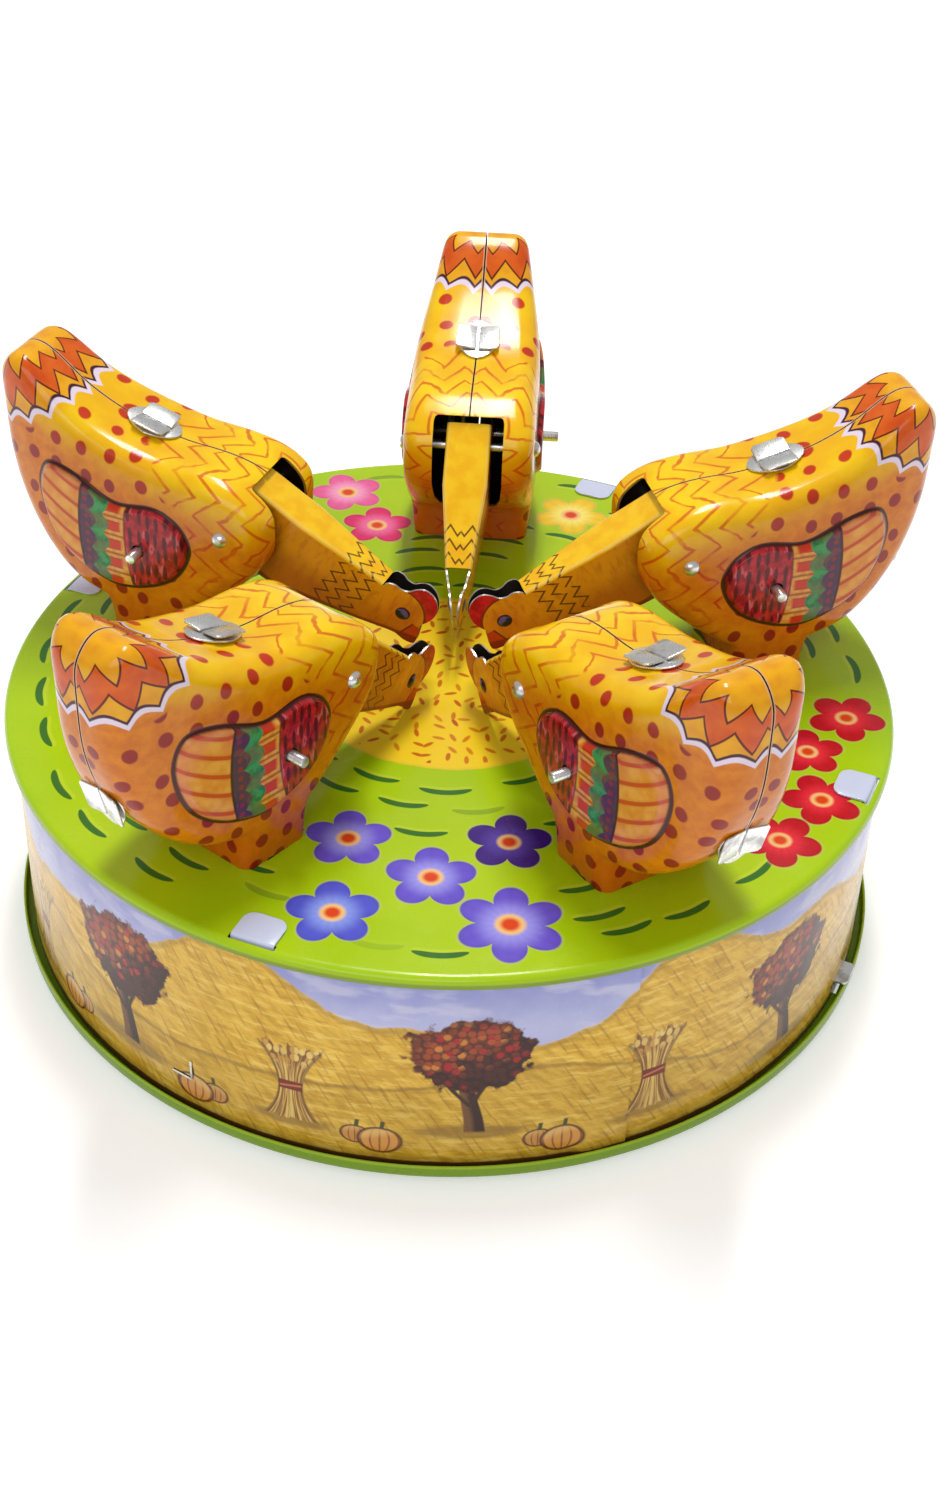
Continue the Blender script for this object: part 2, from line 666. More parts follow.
MOTIF = [("Below", "Color", None), ("Place", "Vector", None)]
TREE = shared("autumn_tree", MOTIF, [("Colour", "Color")], draw_tree)
SHEAF = shared("wheat_sheaf", MOTIF, [("Colour", "Color")], draw_sheaf)
GOURD = shared("gourds", MOTIF, [("Colour", "Color")], draw_gourd)
MOTIF_CELLS = 16.0


def motif_cell(angle, shift, seed, drift):
    """One picture's cell round the band: its number, three chances, and the way from its middle."""
    share = angle * (MOTIF_CELLS / (2 * math.pi)) + shift
    number = maths("FLOORED_MODULO", maths("FLOOR", share), MOTIF_CELLS)
    lot, lot_x, lot_z = chance(vector(number, seed))
    width = 2 * math.pi * BAND_RADIUS / MOTIF_CELLS
    aside = (share - maths("FLOOR", share) - 0.5) * width + (lot_x - 0.5) * drift
    return number, lot, lot_x, lot_z, aside


def draw_band(tree):
    place = object_place(tree)
    x, y, z = parts(place)
    angle = maths("ARCTAN2", y, x)
    round_it = angle * BAND_RADIUS
    warp = noise(place, 0.14, 3.0) - 0.5
    colour = mixed(over(z + warp * 10.0, 41.0, 12.0), rgb(196, 198, 236), rgb(158, 162, 218))
    cloud = over(noise(vector(x * 0.4, y * 0.4, z * 1.3), 0.2, 3.0), 0.56, 0.16)
    colour = mixed(cloud * 0.5, colour, rgb(224, 222, 242))

    # Straw and stubble, in strokes that lean both ways
    lean = noise(vector(round_it + z * 0.9, z * 0.28 - round_it * 0.1), 0.5, 3.0, 0.65)
    other = noise(vector(round_it * 0.25 + z * 0.1, z * 1.5), 0.55, 3.0, 0.65)
    straw = mixed(over(lean, 0.5, 0.3), rgb(212, 164, 46), rgb(238, 192, 70))
    straw = mixed(over(other, 0.58, 0.12) * 0.75, straw, rgb(248, 212, 104))
    straw = mixed(under(other, 0.4, 0.14) * 0.45, straw, rgb(182, 128, 36))
    blade_x, blade_z, lot, _ = cells(round_it + z * 0.55, z * 0.42, 2.1, 0.9)
    blade = ellipse(blade_x, blade_z, 0.26, 1.0, 0.5) * over(lot, 0.6, 0.05)
    straw = mixed(blade * 0.4, straw, rgb(156, 104, 34))
    far = 39.5 + maths("SINE", angle * 6.0 + 0.7) * 6.5 + maths("SINE", angle * 13.0 + 2.0) * 3.0
    hill = under(z - far + warp * 3.0, 0.0, 0.7)
    colour = mixed(hill, colour, tinted(straw, 1.04 + warp * 0.2))
    colour = mixed(line(z - far + warp * 3.0 + 0.9, 1.3, 1.0) * 0.5, colour, rgb(176, 140, 60))
    near = 22.0 + maths("SINE", angle * 5.0 + 2.1) * 4.0 + maths("SINE", angle * 9.0) * 1.6
    field = under(z - near + warp * 2.5, 0.0, 0.8)
    colour = mixed(field, colour, tinted(straw, 0.93 + warp * 0.3))
    colour = mixed(line(z - near + warp * 2.5 + 0.5, 0.9, 0.8) * 0.55, colour, rgb(146, 106, 44))

    # Trees and sheaves in turn, and gourds between some of them
    number, lot, _, lot_z, aside = motif_cell(angle, 0.2, 3.0, 5.0)
    size = 0.92 + lot * 0.22
    spot = vector(aside / size, (z - lot_z * 4.0) / size, lot)
    (with_tree,) = use(TREE, colour, spot)
    (with_sheaf,) = use(SHEAF, colour, spot)
    colour = mixed(over(maths("FLOORED_MODULO", number, 2.0), 0.5, 0.01), with_tree, with_sheaf)
    _, lot, lot_x, lot_z, aside = motif_cell(angle, 0.7, 8.0, 7.0)
    mirrored = aside * (1.0 - 2.0 * maths("ROUND", lot))
    (with_gourds,) = use(GOURD, colour, vector(mirrored, z - 1.0 - lot_z * 2.0))
    colour = mixed(over(lot_x, 0.3, 0.01), colour, with_gourds)
    colour = mixed(under(z + warp * 0.8, 3.4, 0.5), colour, rgb(96, 58, 26))
    return worn_print(colour, place, 0.35, 0.2, 0.12, lighter=0.02)


def draw_tab(tree):
    return worn_print(rgb(208, 217, 241), object_place(tree), 1.0, 0.24, 0.14, lighter=0.02)


# The hens' print. Its places are millimetres on the flat sheet, or ahead and up on the wing
SPOT_CELL = 6.2
TAIL_TIP = (97.0, 69.0)
TAIL_REACH = 26.5
SCALLOP_DEPTH = 1.9
SCALLOPS = 14.4


def hen_spots(colour, flat_x, flat_z, top, reach):
    spot_x, spot_z, lot, hue = cells(flat_x + 1.3, flat_z + 2.0, SPOT_CELL, 0.36)
    spot_x, spot_z = turn_by(spot_x, spot_z, lot * 0.8 - 0.4)
    spots = ellipse(spot_x, spot_z, 1.2 + hue * 0.2, 1.5, 0.3)
    spots = spots * over(flat_x - top * 10.0, 53.0, 1.0) * over(reach, TAIL_REACH + SCALLOP_DEPTH, 0.6)
    return mixed(spots * 0.95, colour, mixed(top, rgb(148, 16, 18), rgb(206, 30, 12)))


def hen_tail(colour, flat_x, flat_z):
    """Zigzags over the tail's tip, down to a scalloped border of white under a dark line."""
    x, z = TAIL_TIP[0] - flat_x, TAIL_TIP[1] - flat_z
    reach = length(x, z)
    round_it = maths("ARCTAN2", z, x)
    scallop = abs(maths("SINE", (round_it - 0.532) * SCALLOPS))
    border = TAIL_REACH - SCALLOP_DEPTH * scallop - reach
    inner = reach - 16.3 - zigzag(round_it + 0.481, 0.288) * 2.2
    outer = reach - 22.3 - zigzag(round_it + 0.389, 0.265) * 2.3
    place = vector(flat_x, flat_z)
    ember = mottled(place, 0.25, 2.0, rgb(214, 78, 12), rgb(230, 104, 18), blur=0.5)
    tip = mottled(place, 0.2, 2.0, rgb(232, 152, 16), rgb(246, 178, 18), blur=0.4)
    tip = mixed(over(inner, 0.0, 0.3) * under(outer, 0.0, 0.3), tip, ember)
    tip = mixed(higher(line(inner, 0.7, 0.34), line(outer, 0.7, 0.34)), tip, rgb(98, 26, 8))
    edged = mixed(over(border, -1.35, 0.3), colour, rgb(238, 222, 240))
    edged = mixed(over(border, -0.2, 0.3), edged, rgb(70, 20, 44))
    return mixed(over(border, 0.5, 0.3), edged, tip), reach


# Where the wing's bands begin, from its round front to its rear
GOLD_FROM = 64.6
GREEN_FROM = 69.6
PLUM_FROM = 72.6
FEATHERS_FROM = 75.3
TONGUE_ROW = 4.25
DULL_ROW = 6.1


def hen_wing(colour, x, z, wing):
    """The wing's bands: strokes on crimson, tongues on gold, green, plum, and pale feathers."""
    place = vector(x, z)
    rows = abs(maths("SINE", z * (math.pi / TONGUE_ROW) + 0.314))
    red = mottled(place, 0.45, 2.0, rgb(156, 14, 26), rgb(200, 38, 46))
    red = mixed(over(noise(vector(x * 1.6, z * 0.5), 0.55, 2.0), 0.62, 0.1) * 0.6, red, rgb(232, 120, 130))
    stroke_x, stroke_z, *_ = cells(x * 1.9 + 3.0, z, 3.7, 0.45)
    paint = mixed(ellipse(stroke_x, stroke_z, 0.85, 1.7, 0.5) * 0.9, red, rgb(82, 10, 24))

    # Tongues over the edge of the green
    gold_edge = x - GOLD_FROM + (z - 25.0) ** 2.0 * 0.012
    gold = mottled(place, 0.6, 2.0, rgb(228, 140, 44), rgb(240, 176, 76))
    tongue = mixed(under(rows, 0.74, 0.2), rgb(214, 56, 22), rgb(128, 32, 18))
    gold = mixed(over(rows, 0.66, 0.2) * between(x, 65.4, 68.8, 0.9), gold, tongue)
    gold = mixed(under(rows, 0.2, 0.2) * 0.7, gold, rgb(140, 54, 26))
    paint = mixed(over(gold_edge, 0.0, 0.3), paint, gold)
    paint = mixed(line(gold_edge, 0.4, 0.3) * 0.7, paint, rgb(100, 28, 22))
    green_edge = x - GREEN_FROM + rows * 1.5
    green = mottled(place, 0.5, 2.0, rgb(30, 118, 66), rgb(66, 156, 84), blur=0.2)
    dull = abs(maths("SINE", (z - 24.6) * (math.pi / DULL_ROW)))
    green = mixed(over(dull, 0.7, 0.4) * 0.6, green, rgb(116, 110, 60))
    paint = mixed(over(green_edge, 0.0, 0.3), paint, green)
    plum_edge = x - PLUM_FROM + rows * 1.5
    plum = mottled(place, 0.4, 3.0, rgb(84, 48, 78), rgb(108, 72, 66), 0.55, 0.15)
    dots = ellipse(x - PLUM_FROM - 0.8, maths("PINGPONG", z + 0.6, 1.95) - 0.975, 0.55, 0.55, 0.5)
    plum = mixed(dots, plum, rgb(140, 44, 48))
    paint = mixed(over(plum_edge, 0.0, 0.4), paint, plum)

    # Pale feathers, with thin lines that lift to the rear
    bend = x - FEATHERS_FROM + (z - 24.0) ** 2.0 * 0.012
    feather = mottled(place, 0.3, 3.0, rgb(226, 138, 44), rgb(242, 172, 74), blur=0.4)
    rise = higher(x - FEATHERS_FROM - 0.3, 0.0)
    comb = maths("PINGPONG", z - rise * 0.34 - rise * rise * 0.024 + 2.6, 2.0)
    feather = mixed(under(comb, 0.46, 0.3) * 0.95, feather, rgb(206, 60, 16))
    feather = mixed(under(comb, 0.8, 0.8) * 0.25, feather, rgb(200, 100, 48))
    feather = mixed(under(wing, 1.5, 1.8) * 0.35, feather, rgb(196, 92, 92))
    paint = mixed(over(bend, 0.0, 0.3), paint, feather)
    paint = mixed(line(bend, 0.6, 0.3), paint, rgb(74, 36, 34))
    colour = mixed(over(wing, 0.0, 0.1), colour, paint)
    return mixed(line(wing - 0.02, 0.74, 0.34), colour, rgb(70, 20, 8))


def draw_hen(tree):
    flat_x, flat_z, _ = parts(own_value(tree, "print"))
    own_place = own_value(tree, "hen")
    x, y, z = parts(own_place)
    wing = own_value(tree, "wing", "Fac")
    place = vector(flat_x, flat_z)
    height_up = z - 38.6 - (x - 41.0) * 0.34
    mottle = noise(place, 0.12, 3.0)
    top = over(height_up + mottle * 4.0, -5.0, 13.0)
    colour = mixed(over(noise(place, 0.35, 4.0, 0.6), 0.5, 0.4), rgb(212, 112, 6), rgb(230, 136, 10))
    colour = mixed(under(z + mottle * 5.0, 12.0, 12.0) * 0.6, colour, rgb(206, 84, 10))
    colour = mixed(under(x + mottle * 5.0, 40.5, 6.0) * 0.6, colour, rgb(206, 88, 10))
    colour = mixed(top, colour, mixed(over(mottle, 0.5, 0.3), rgb(250, 194, 3), rgb(255, 212, 7)))

    # Zigzags on the shoulder and breast
    brush = noise(place, 0.22, 2.0)
    rows = maths("PINGPONG", flat_x * 0.94 + zigzag(flat_z + brush * 2.4, 8.6) * 2.5 + brush * 2.0, 2.5)
    shoulder = under(flat_x - top * 10.0, 51.0, 1.5) * under(wing, -0.3, 0.2)
    faint = mixed(top, rgb(196, 56, 8), rgb(224, 106, 4))
    pressed = 0.5 + 0.5 * over(noise(place, 0.16, 2.0), 0.44, 0.2)
    colour = mixed(under(rows, 0.3 + brush * 0.3, 0.34) * shoulder * pressed * 0.9, colour, faint)

    colour, reach = hen_tail(colour, flat_x, flat_z)
    colour = hen_spots(colour, flat_x, flat_z, top, reach)
    colour = hen_wing(colour, x, z, wing)

    tone, smudge, sheet = use(SHEET, own_place, 1.0)
    (worn,) = use(WEAR, own_place, 0.3)
    seam_light = under(abs(y) + noise(own_place, 0.5, 2.0) * 0.24, 0.52, 0.12)
    seam_light = seam_light * (0.3 + over(x, 76.0, 10.0) * 0.5)
    colour = mixed(seam_light, tinted(colour, tone), rgb(222, 178, 138))
    colour = mixed(worn, colour, BARE_TIN)
    return colour, 0.17 + smudge * 0.1, worn * 0.7, sheet, 0.00025


def draw_neck(tree):
    own_place = own_value(tree, "neck")
    u, v, y = parts(own_place)
    place = vector(u, v, y)
    web = over(v, 7.45, 0.3) * under(u, 30.6, 0.2)
    streak = noise(vector(u * 1.6, v * 0.5, y), 0.5, 3.0, 0.6)
    colour = mixed(over(v + noise(place, 0.2) * 5.0, 3.0, 9.0), rgb(194, 104, 16), rgb(232, 150, 22))
    colour = mixed(over(streak, 0.56, 0.2) * 0.4, colour, rgb(178, 84, 20))
    colour = mixed(web, colour, mottled(place, 0.3, 3.0, rgb(250, 188, 10), rgb(255, 206, 24)))

    # Rows of zigzags run down the sides and across the web near its end
    across = v - web * (v - 7.4) + web * (4.2 - abs(y))
    wave = zigzag(across + 20.1, 3.1) * 1.15
    rows = 0.0
    for place_u in (21.4, 24.4, 27.4):
        rows = higher(rows, line(u + wave - place_u - v * 0.1, 0.66, 0.3))
    gaps = over(noise(place, 0.35, 2.0), 0.36, 0.08)
    colour = mixed(rows * gaps * 0.92, colour, rgb(82, 38, 14))
    rim = 4.15 - higher(u - 12.0, 0.0) * 0.104
    colour = mixed(line(abs(y) - rim, 0.4, 0.3) * web * 0.45, colour, rgb(255, 224, 120))

    # Comb, beak, and the dark line under the head
    ring = length(u - 35.5, v - 3.4) - 6.05
    crown = over(u, 35.2, 0.5) * over(v, 3.6, 0.4)
    crimson = mottled(place, 0.6, 2.0, rgb(176, 14, 26), rgb(214, 30, 40))
    colour = mixed(over(ring, 0.0, 0.3) * crown, colour, crimson)
    colour = mixed(line(ring, 0.4, 0.25) * crown, colour, rgb(120, 40, 20))
    colour = mixed(under(length(u - EYE[0], v - EYE[1]), 3.4, 3.0) * 0.3, colour, rgb(196, 70, 30))
    beak, below = u - v * 0.3 - 38.9, under(v, 3.2, 0.4)
    colour = mixed(over(beak, 0.0, 0.4) * below, colour, rgb(200, 62, 22))
    colour = mixed(line(beak, 0.4, 0.25) * below, colour, rgb(112, 36, 18))
    lower_edge = v + 8.4 - higher(u - 12.0, 0.0) * 0.275
    colour = mixed(under(lower_edge, 1.0, 0.5) * over(u, 3.0, 4.0) * 0.85, colour, rgb(128, 36, 20))
    return worn_print(colour, own_place, 0.5, 0.18, 0.1, 0.7)


def draw_eye(tree):
    u, v, _ = parts(own_value(tree, "neck"))
    ring = length(u - EYE[0], v - EYE[1])
    rim = over(ring, 1.2, 0.16)
    light = over(v - EYE[1] + (u - EYE[0]) * 0.4 + noise(vector(u, v), 2.0) * 0.6, 0.5, 0.7)
    glint = mixed(light, rgb(10, 8, 16), rgb(104, 92, 138))
    return mixed(rim, glint, rgb(66, 40, 34)), 0.1 + ring * 0.06, rim * 0.2, ring, 0.0


def draw_inside(tree):
    """The sheet's unprinted back, under a dark lacquer."""
    place = object_place(tree)
    tone, smudge, height = use(SHEET, place, 1.0)
    colour = mixed(smudge, rgb(34, 28, 30), rgb(52, 44, 42))
    return tinted(colour, tone), 0.36 + smudge * 0.2, 0.2 + smudge * 0.2, height, 0.0002


def bare_metal(light, dark, rough, stretch, depth=0.00003):
    def draw(tree):
        place = object_place(tree)
        tone, stain, lines = use(METAL, place, stretch)
        colour = tinted(mixed(stain * 0.6, light, dark), tone)
        return colour, rough + stain * 0.16 + lines * 0.08, 1.0 - stain * 0.1, lines, depth

    return draw


GLOSS = {"Specular IOR Level": 0.3, "Coat Weight": 0.15, "Coat Roughness": 0.05}
PAINT = {
    "lid": finish("lid_print", draw_lid, **GLOSS),
    "pan": finish("pan_green", draw_pan, **GLOSS),
    "band": finish("band_print", draw_band, **GLOSS),
    "tab": finish("tab_blue", draw_tab, **GLOSS),
    "hen": finish("hen_print", draw_hen, **GLOSS),
    "neck": finish("neck_print", draw_neck, **GLOSS),
    "eye": finish("eye_print", draw_eye, **GLOSS),
    "inside": finish("back_lacquer", draw_inside),
    "edge": finish("cut_edge", bare_metal(rgb(206, 203, 196), rgb(150, 142, 128), 0.3, 1.0)),
    "bright": finish("bright_tin", bare_metal(rgb(240, 240, 238), rgb(176, 174, 170), 0.24, 3.0)),
    "steel": finish("motor_steel", bare_metal(rgb(150, 152, 154), rgb(86, 82, 76), 0.34, 4.0)),
    "brass": finish("wheel_brass", bare_metal(rgb(214, 172, 88), rgb(128, 92, 44), 0.26, 3.0)),
    "spring": finish("spring_steel", bare_metal(rgb(92, 100, 122), rgb(52, 50, 58), 0.24, 5.0)),
}


# Mesh making
def link(name, mesh):
    made = bpy.data.objects.new(name, mesh)
    bpy.context.scene.collection.objects.link(made)
    return made


def applied(made, name):
    """The object's mesh with its modifiers in it. The object goes."""
    graph = bpy.context.evaluated_depsgraph_get()
    graph.update()
    mesh = bpy.data.meshes.new_from_object(made.evaluated_get(graph))
    mesh.name = name
    bpy.data.objects.remove(made)
    return mesh


def to_mesh(bm, name, outward=True):
    if outward:
        bmesh.ops.recalc_face_normals(bm, faces=bm.faces)
    mesh = bpy.data.meshes.new(name)
    bm.to_mesh(mesh)
    bm.free()
    return mesh


def smooth(mesh, degrees=35.0):
    mesh.shade_smooth()
    mesh.set_sharp_from_angle(angle=math.radians(degrees))
    return mesh


def painted(mesh, *paints):
    for paint in paints:
        mesh.materials.append(paint)
    return mesh


def moved(mesh, place):
    mesh.transform(place)
    return mesh


def joined(name, meshes):
    bm = bmesh.new()
    for mesh in meshes:
        bm.from_mesh(mesh)
    return to_mesh(bm, name, outward=False)


def modified(mesh, kind, **settings):
    """The mesh with one modifier in it."""
    made = link("modified", mesh)
    modifier = made.modifiers.new("modifier", kind)
    for name, value in settings.items():
        setattr(modifier, name, value)
    return applied(made, mesh.name)


def boolean(mesh, other, paint=None):
    """The mesh with another cut from it. The cut faces take the given paint."""
    tool = link("tool", other)
    if paint:
        other.materials.clear()
        other.materials.append(paint)
    settings = {"operation": "DIFFERENCE", "solver": "EXACT", "material_mode": "TRANSFER"}
    result = modified(mesh, "BOOLEAN", object=tool, **settings)
    bpy.data.objects.remove(tool)
    return result


def solidified(mesh, thickness):
    """An open sheet with its thickness inward, its back in its second paint and its rim in its third."""
    settings = {"use_even_offset": False, "material_offset": 1, "material_offset_rim": 2}
    return modified(mesh, "SOLIDIFY", thickness=thickness, offset=-1.0, **settings)


def bevelled(mesh, width, segments=2, degrees=35.0):
    settings = {"limit_method": "ANGLE", "angle_limit": math.radians(degrees)}
    return modified(mesh, "BEVEL", width=width, segments=segments, **settings)


def turns(count):
    return [2 * math.pi * i / count for i in range(count)]


def turned(name, profile, steps, axis=None):
    """A profile of (radius, height) turned about Z, or about the axis that the matrix gives."""
    bm = bmesh.new()
    rings = []
    for radius, height in profile:
        if radius < 1e-6:
            rings.append([bm.verts.new((0.0, 0.0, height))])
            continue
        ring = [(radius * math.cos(angle), radius * math.sin(angle)) for angle in turns(steps)]
        rings.append([bm.verts.new((x, y, height)) for x, y in ring])
    pairs = list(zip(rings, rings[1:]))
    if len(rings[0]) > 1:
        pairs.append((rings[-1], rings[0]))
    for here, there in pairs:
        if len(here) == 1 and len(there) == 1:
            continue
        for i in range(steps):
            j = (i + 1) % steps
            corners = here[i % len(here)], here[j % len(here)], there[j % len(there)], there[i % len(there)]
            bm.faces.new(list(dict.fromkeys(corners)))
    return moved(to_mesh(bm, name), axis or Matrix())


def prism(name, outline, low, high, place=None):
    """An outline in the XY plane, run from low to high along Z."""
    bm = bmesh.new()
    bottom = [bm.verts.new((x, y, low)) for x, y in outline]
    top = [bm.verts.new((x, y, high)) for x, y in outline]
    bm.faces.new(bottom[::-1])
    bm.faces.new(top)
    for i in range(len(outline)):
        j = (i + 1) % len(outline)
        bm.faces.new((bottom[i], bottom[j], top[j], top[i]))
    return moved(to_mesh(bm, name), place or Matrix())


def block(centre, size, turn=0.0):
    bm = bmesh.new()
    place = Matrix.Rotation(math.radians(turn), 4, "Z") @ Matrix.Translation(centre)
    bmesh.ops.create_cube(bm, size=1.0, matrix=place @ Matrix.Diagonal((*size, 1.0)))
    return to_mesh(bm, "block")


def peg(centre, radius, length, axis="Z", turn=0.0, sides=24):
    """A round cutter or pin with its middle at the centre."""
    bm = bmesh.new()
    place = Matrix.Rotation(math.radians(turn), 4, "Z") @ Matrix.Translation(centre)
    if axis == "Y":
        place = place @ Matrix.Rotation(math.pi / 2, 4, "X")
    bmesh.ops.create_cone(
        bm, cap_ends=True, segments=sides, radius1=radius, radius2=radius, depth=length, matrix=place
    )
    return to_mesh(bm, "peg")


def grows(name, inputs, draw):
    """A tree of geometry nodes that grows a shape from a base, as real copies with their paint on."""
    inputs = [("Base", "Geometry", None), *inputs, ("Paint", "Material", None)]
    tree, (*values, paint), end = group_of(name, "GeometryNodeTree", inputs, [("Shape", "Geometry")])
    real = step(tree, "GeometryNodeRealizeInstances", Geometry=draw(*values))
    feed(tree, end.inputs["Shape"], step(tree, "GeometryNodeSetMaterial", Geometry=real, Material=paint))
    return tree


def step(tree, kind, mode=None, **inputs):
    """One geometry node, with its inputs by name. An underscore stands for a space."""
    settings = {"mode": mode} if mode else {}
    named = [(label.replace("_", " "), value) for label, value in inputs.items()]
    return Ink(tree, add_node(tree, kind, named, **settings).outputs[0])


def grown(tree, base, paint, **sizes):
    """The mesh that a tree grows from a base mesh, with the named sizes."""
    made = link(base.name, base)
    modifier = made.modifiers.new("grow", "NODES")
    modifier.node_group = tree
    values = {label.replace("_", " "): value for label, value in sizes.items()}
    values["Paint"] = paint
    for item in tree.interface.items_tree:
        if item.item_type == "SOCKET" and item.in_out == "INPUT" and item.name in values:
            modifier[item.identifier] = values[item.name]
    return applied(made, base.name)


def path_mesh(name, points):
    """A line of edges for a tree to follow."""
    mesh = bpy.data.meshes.new(name)
    mesh.from_pydata([tuple(point) for point in points], [(i, i + 1) for i in range(len(points) - 1)], [])
    return mesh


def draw_ring(base, count, first):
    """Copies of the base round the drum's axis."""
    tree = base.tree
    number = Ink(tree, add_node(tree, "GeometryNodeInputIndex").outputs[0])
    turn = vector(0.0, 0.0, number * (2.0 * math.pi) / count + first)
    spots = step(tree, "GeometryNodePoints", Count=count)
    return step(tree, "GeometryNodeInstanceOnPoints", Points=spots, Instance=base, Rotation=turn)


def on_edge(line, width, thickness):
    """A flat strip that stands on edge along a line."""
    tree = line.tree
    line = step(tree, "GeometryNodeSetCurveNormal", mode="Z_UP", Curve=line)
    section = step(tree, "GeometryNodeCurvePrimitiveQuadrilateral", Width=thickness, Height=width)
    return step(tree, "GeometryNodeCurveToMesh", Curve=line, Profile_Curve=section, Fill_Caps=True)


def draw_strip(base, width, thickness):
    return on_edge(step(base.tree, "GeometryNodeMeshToCurve", Mesh=base), width, thickness)


def draw_wire(base, radius, sides):
    """A round wire along the base's line, with flat ends."""
    tree = base.tree
    line = step(tree, "GeometryNodeMeshToCurve", Mesh=base)
    section = step(tree, "GeometryNodeCurvePrimitiveCircle", mode="RADIUS", Resolution=sides, Radius=radius)
    return step(tree, "GeometryNodeCurveToMesh", Curve=line, Profile_Curve=section, Fill_Caps=True)


def draw_spring(base, inner, outer, reach, turns, end, width, thickness):
    """A flat spiral that opens from the arbor, and runs straight out at its end. It stands on edge."""
    tree = base.tree
    count = maths("MULTIPLY", turns, 48.0)
    line = step(tree, "GeometryNodeCurvePrimitiveLine", mode="POINTS")
    line = step(tree, "GeometryNodeResampleCurve", mode="COUNT", Curve=line, Count=count)
    share = Ink(tree, add_node(tree, "GeometryNodeSplineParameter").outputs["Factor"])
    tail = over(share, 0.98, 0.04)
    radius = inner + (outer - inner) * share + (reach - outer) * tail
    angle = end - (1.0 - lower(share, 0.97) / 0.97) * turns * (2 * math.pi)
    spot = vector(radius * maths("COSINE", angle), radius * maths("SINE", angle))
    return on_edge(step(tree, "GeometryNodeSetPosition", Geometry=line, Position=spot), width, thickness)


RING = grows("ring", [("Count", "Int", 4), ("First", "Float", 0.0)], draw_ring)
STRIP = grows("bent_strip", [("Width", "Float", 10.0), ("Thickness", "Float", 0.4)], draw_strip)
WIRE = grows("bent_wire", [("Radius", "Float", 0.5), ("Sides", "Int", 14)], draw_wire)
SPRING = grows(
    "mainspring",
    [
        ("Inner", "Float", 2.0), ("Outer", "Float", 9.0), ("Reach", "Float", 12.0), ("Turns", "Int", 3),
        ("End", "Float", 0.0), ("Width", "Float", 7.0), ("Thickness", "Float", 0.4),
    ],
    draw_spring,
)


def arc(centre, radius, start, end, steps):
    return [
        (centre[0] + x, centre[1] + y)
        for x, y in (polar(radius, start + (end - start) * i / steps) for i in range(steps + 1))
    ]


def curve_through(points, per_span, closed=False):
    """A smooth line through points, with the given number of steps between each two."""
    spots = [Vector(point) for point in points]
    count = len(spots)
    spans = count if closed else count - 1
    line = []
    for i in range(spans):
        if closed:
            a, b, c, d = (spots[(i + k) % count] for k in (-1, 0, 1, 2))
        else:
            b, c = spots[i], spots[i + 1]
            a = spots[i - 1] if i else b * 2 - c
            d = spots[i + 2] if i + 2 < count else c * 2 - b
        reach = max((c - b).length, 1e-9)
        before = (c - a) * (reach / max((c - b).length + (b - a).length, 1e-9))
        after = (d - b) * (reach / max((d - c).length + (c - b).length, 1e-9))
        for number in range(per_span):
            t = number / per_span
            line.append(
                b * (2 * t**3 - 3 * t**2 + 1)
                + before * (t**3 - 2 * t**2 + t)
                + c * (3 * t**2 - 2 * t**3)
                + after * (t**3 - t**2)
            )
    if not closed:
        line.append(spots[-1])
    return line


def rounded(corners, radius, steps=4):
    """A path with each inner corner rounded."""
    path = [Vector(corners[0])]
    for before, here, after in zip(corners, corners[1:], corners[2:]):
        here = Vector(here)
        first = here + (Vector(before) - here).normalized() * radius
        last = here + (Vector(after) - here).normalized() * radius
        for i in range(steps + 1):
            t = i / steps
            path.append(first * (1 - t) ** 2 + here * 2 * t * (1 - t) + last * t * t)
    path.append(Vector(corners[-1]))
    return path


def piece(name, mesh, body, nodes=(), degrees=35.0):
    """Places a finished mesh as a piece that rides on a body and stands for some of the part's nodes."""
    mesh.transform(METRES)
    smooth(mesh, degrees)
    mesh.name = name
    made = link(name, mesh)
    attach(made, body)
    if nodes:
        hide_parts(*nodes)
    return made


def round_hen(angle):
    return Matrix.Translation((0.0, 0.0, HEN_FLOOR)) @ Matrix.Rotation(math.radians(angle), 4, "Z")


# Drum
def slots(level):
    """Cutters for the band's tabs, through the lid or the pan."""
    size = (BAND_TIN + 0.9, TAB_WIDTH + 0.6, 3.0)
    return [block((BAND_RADIUS, 0.0, level), size, angle) for angle in TAB_ANGLES]


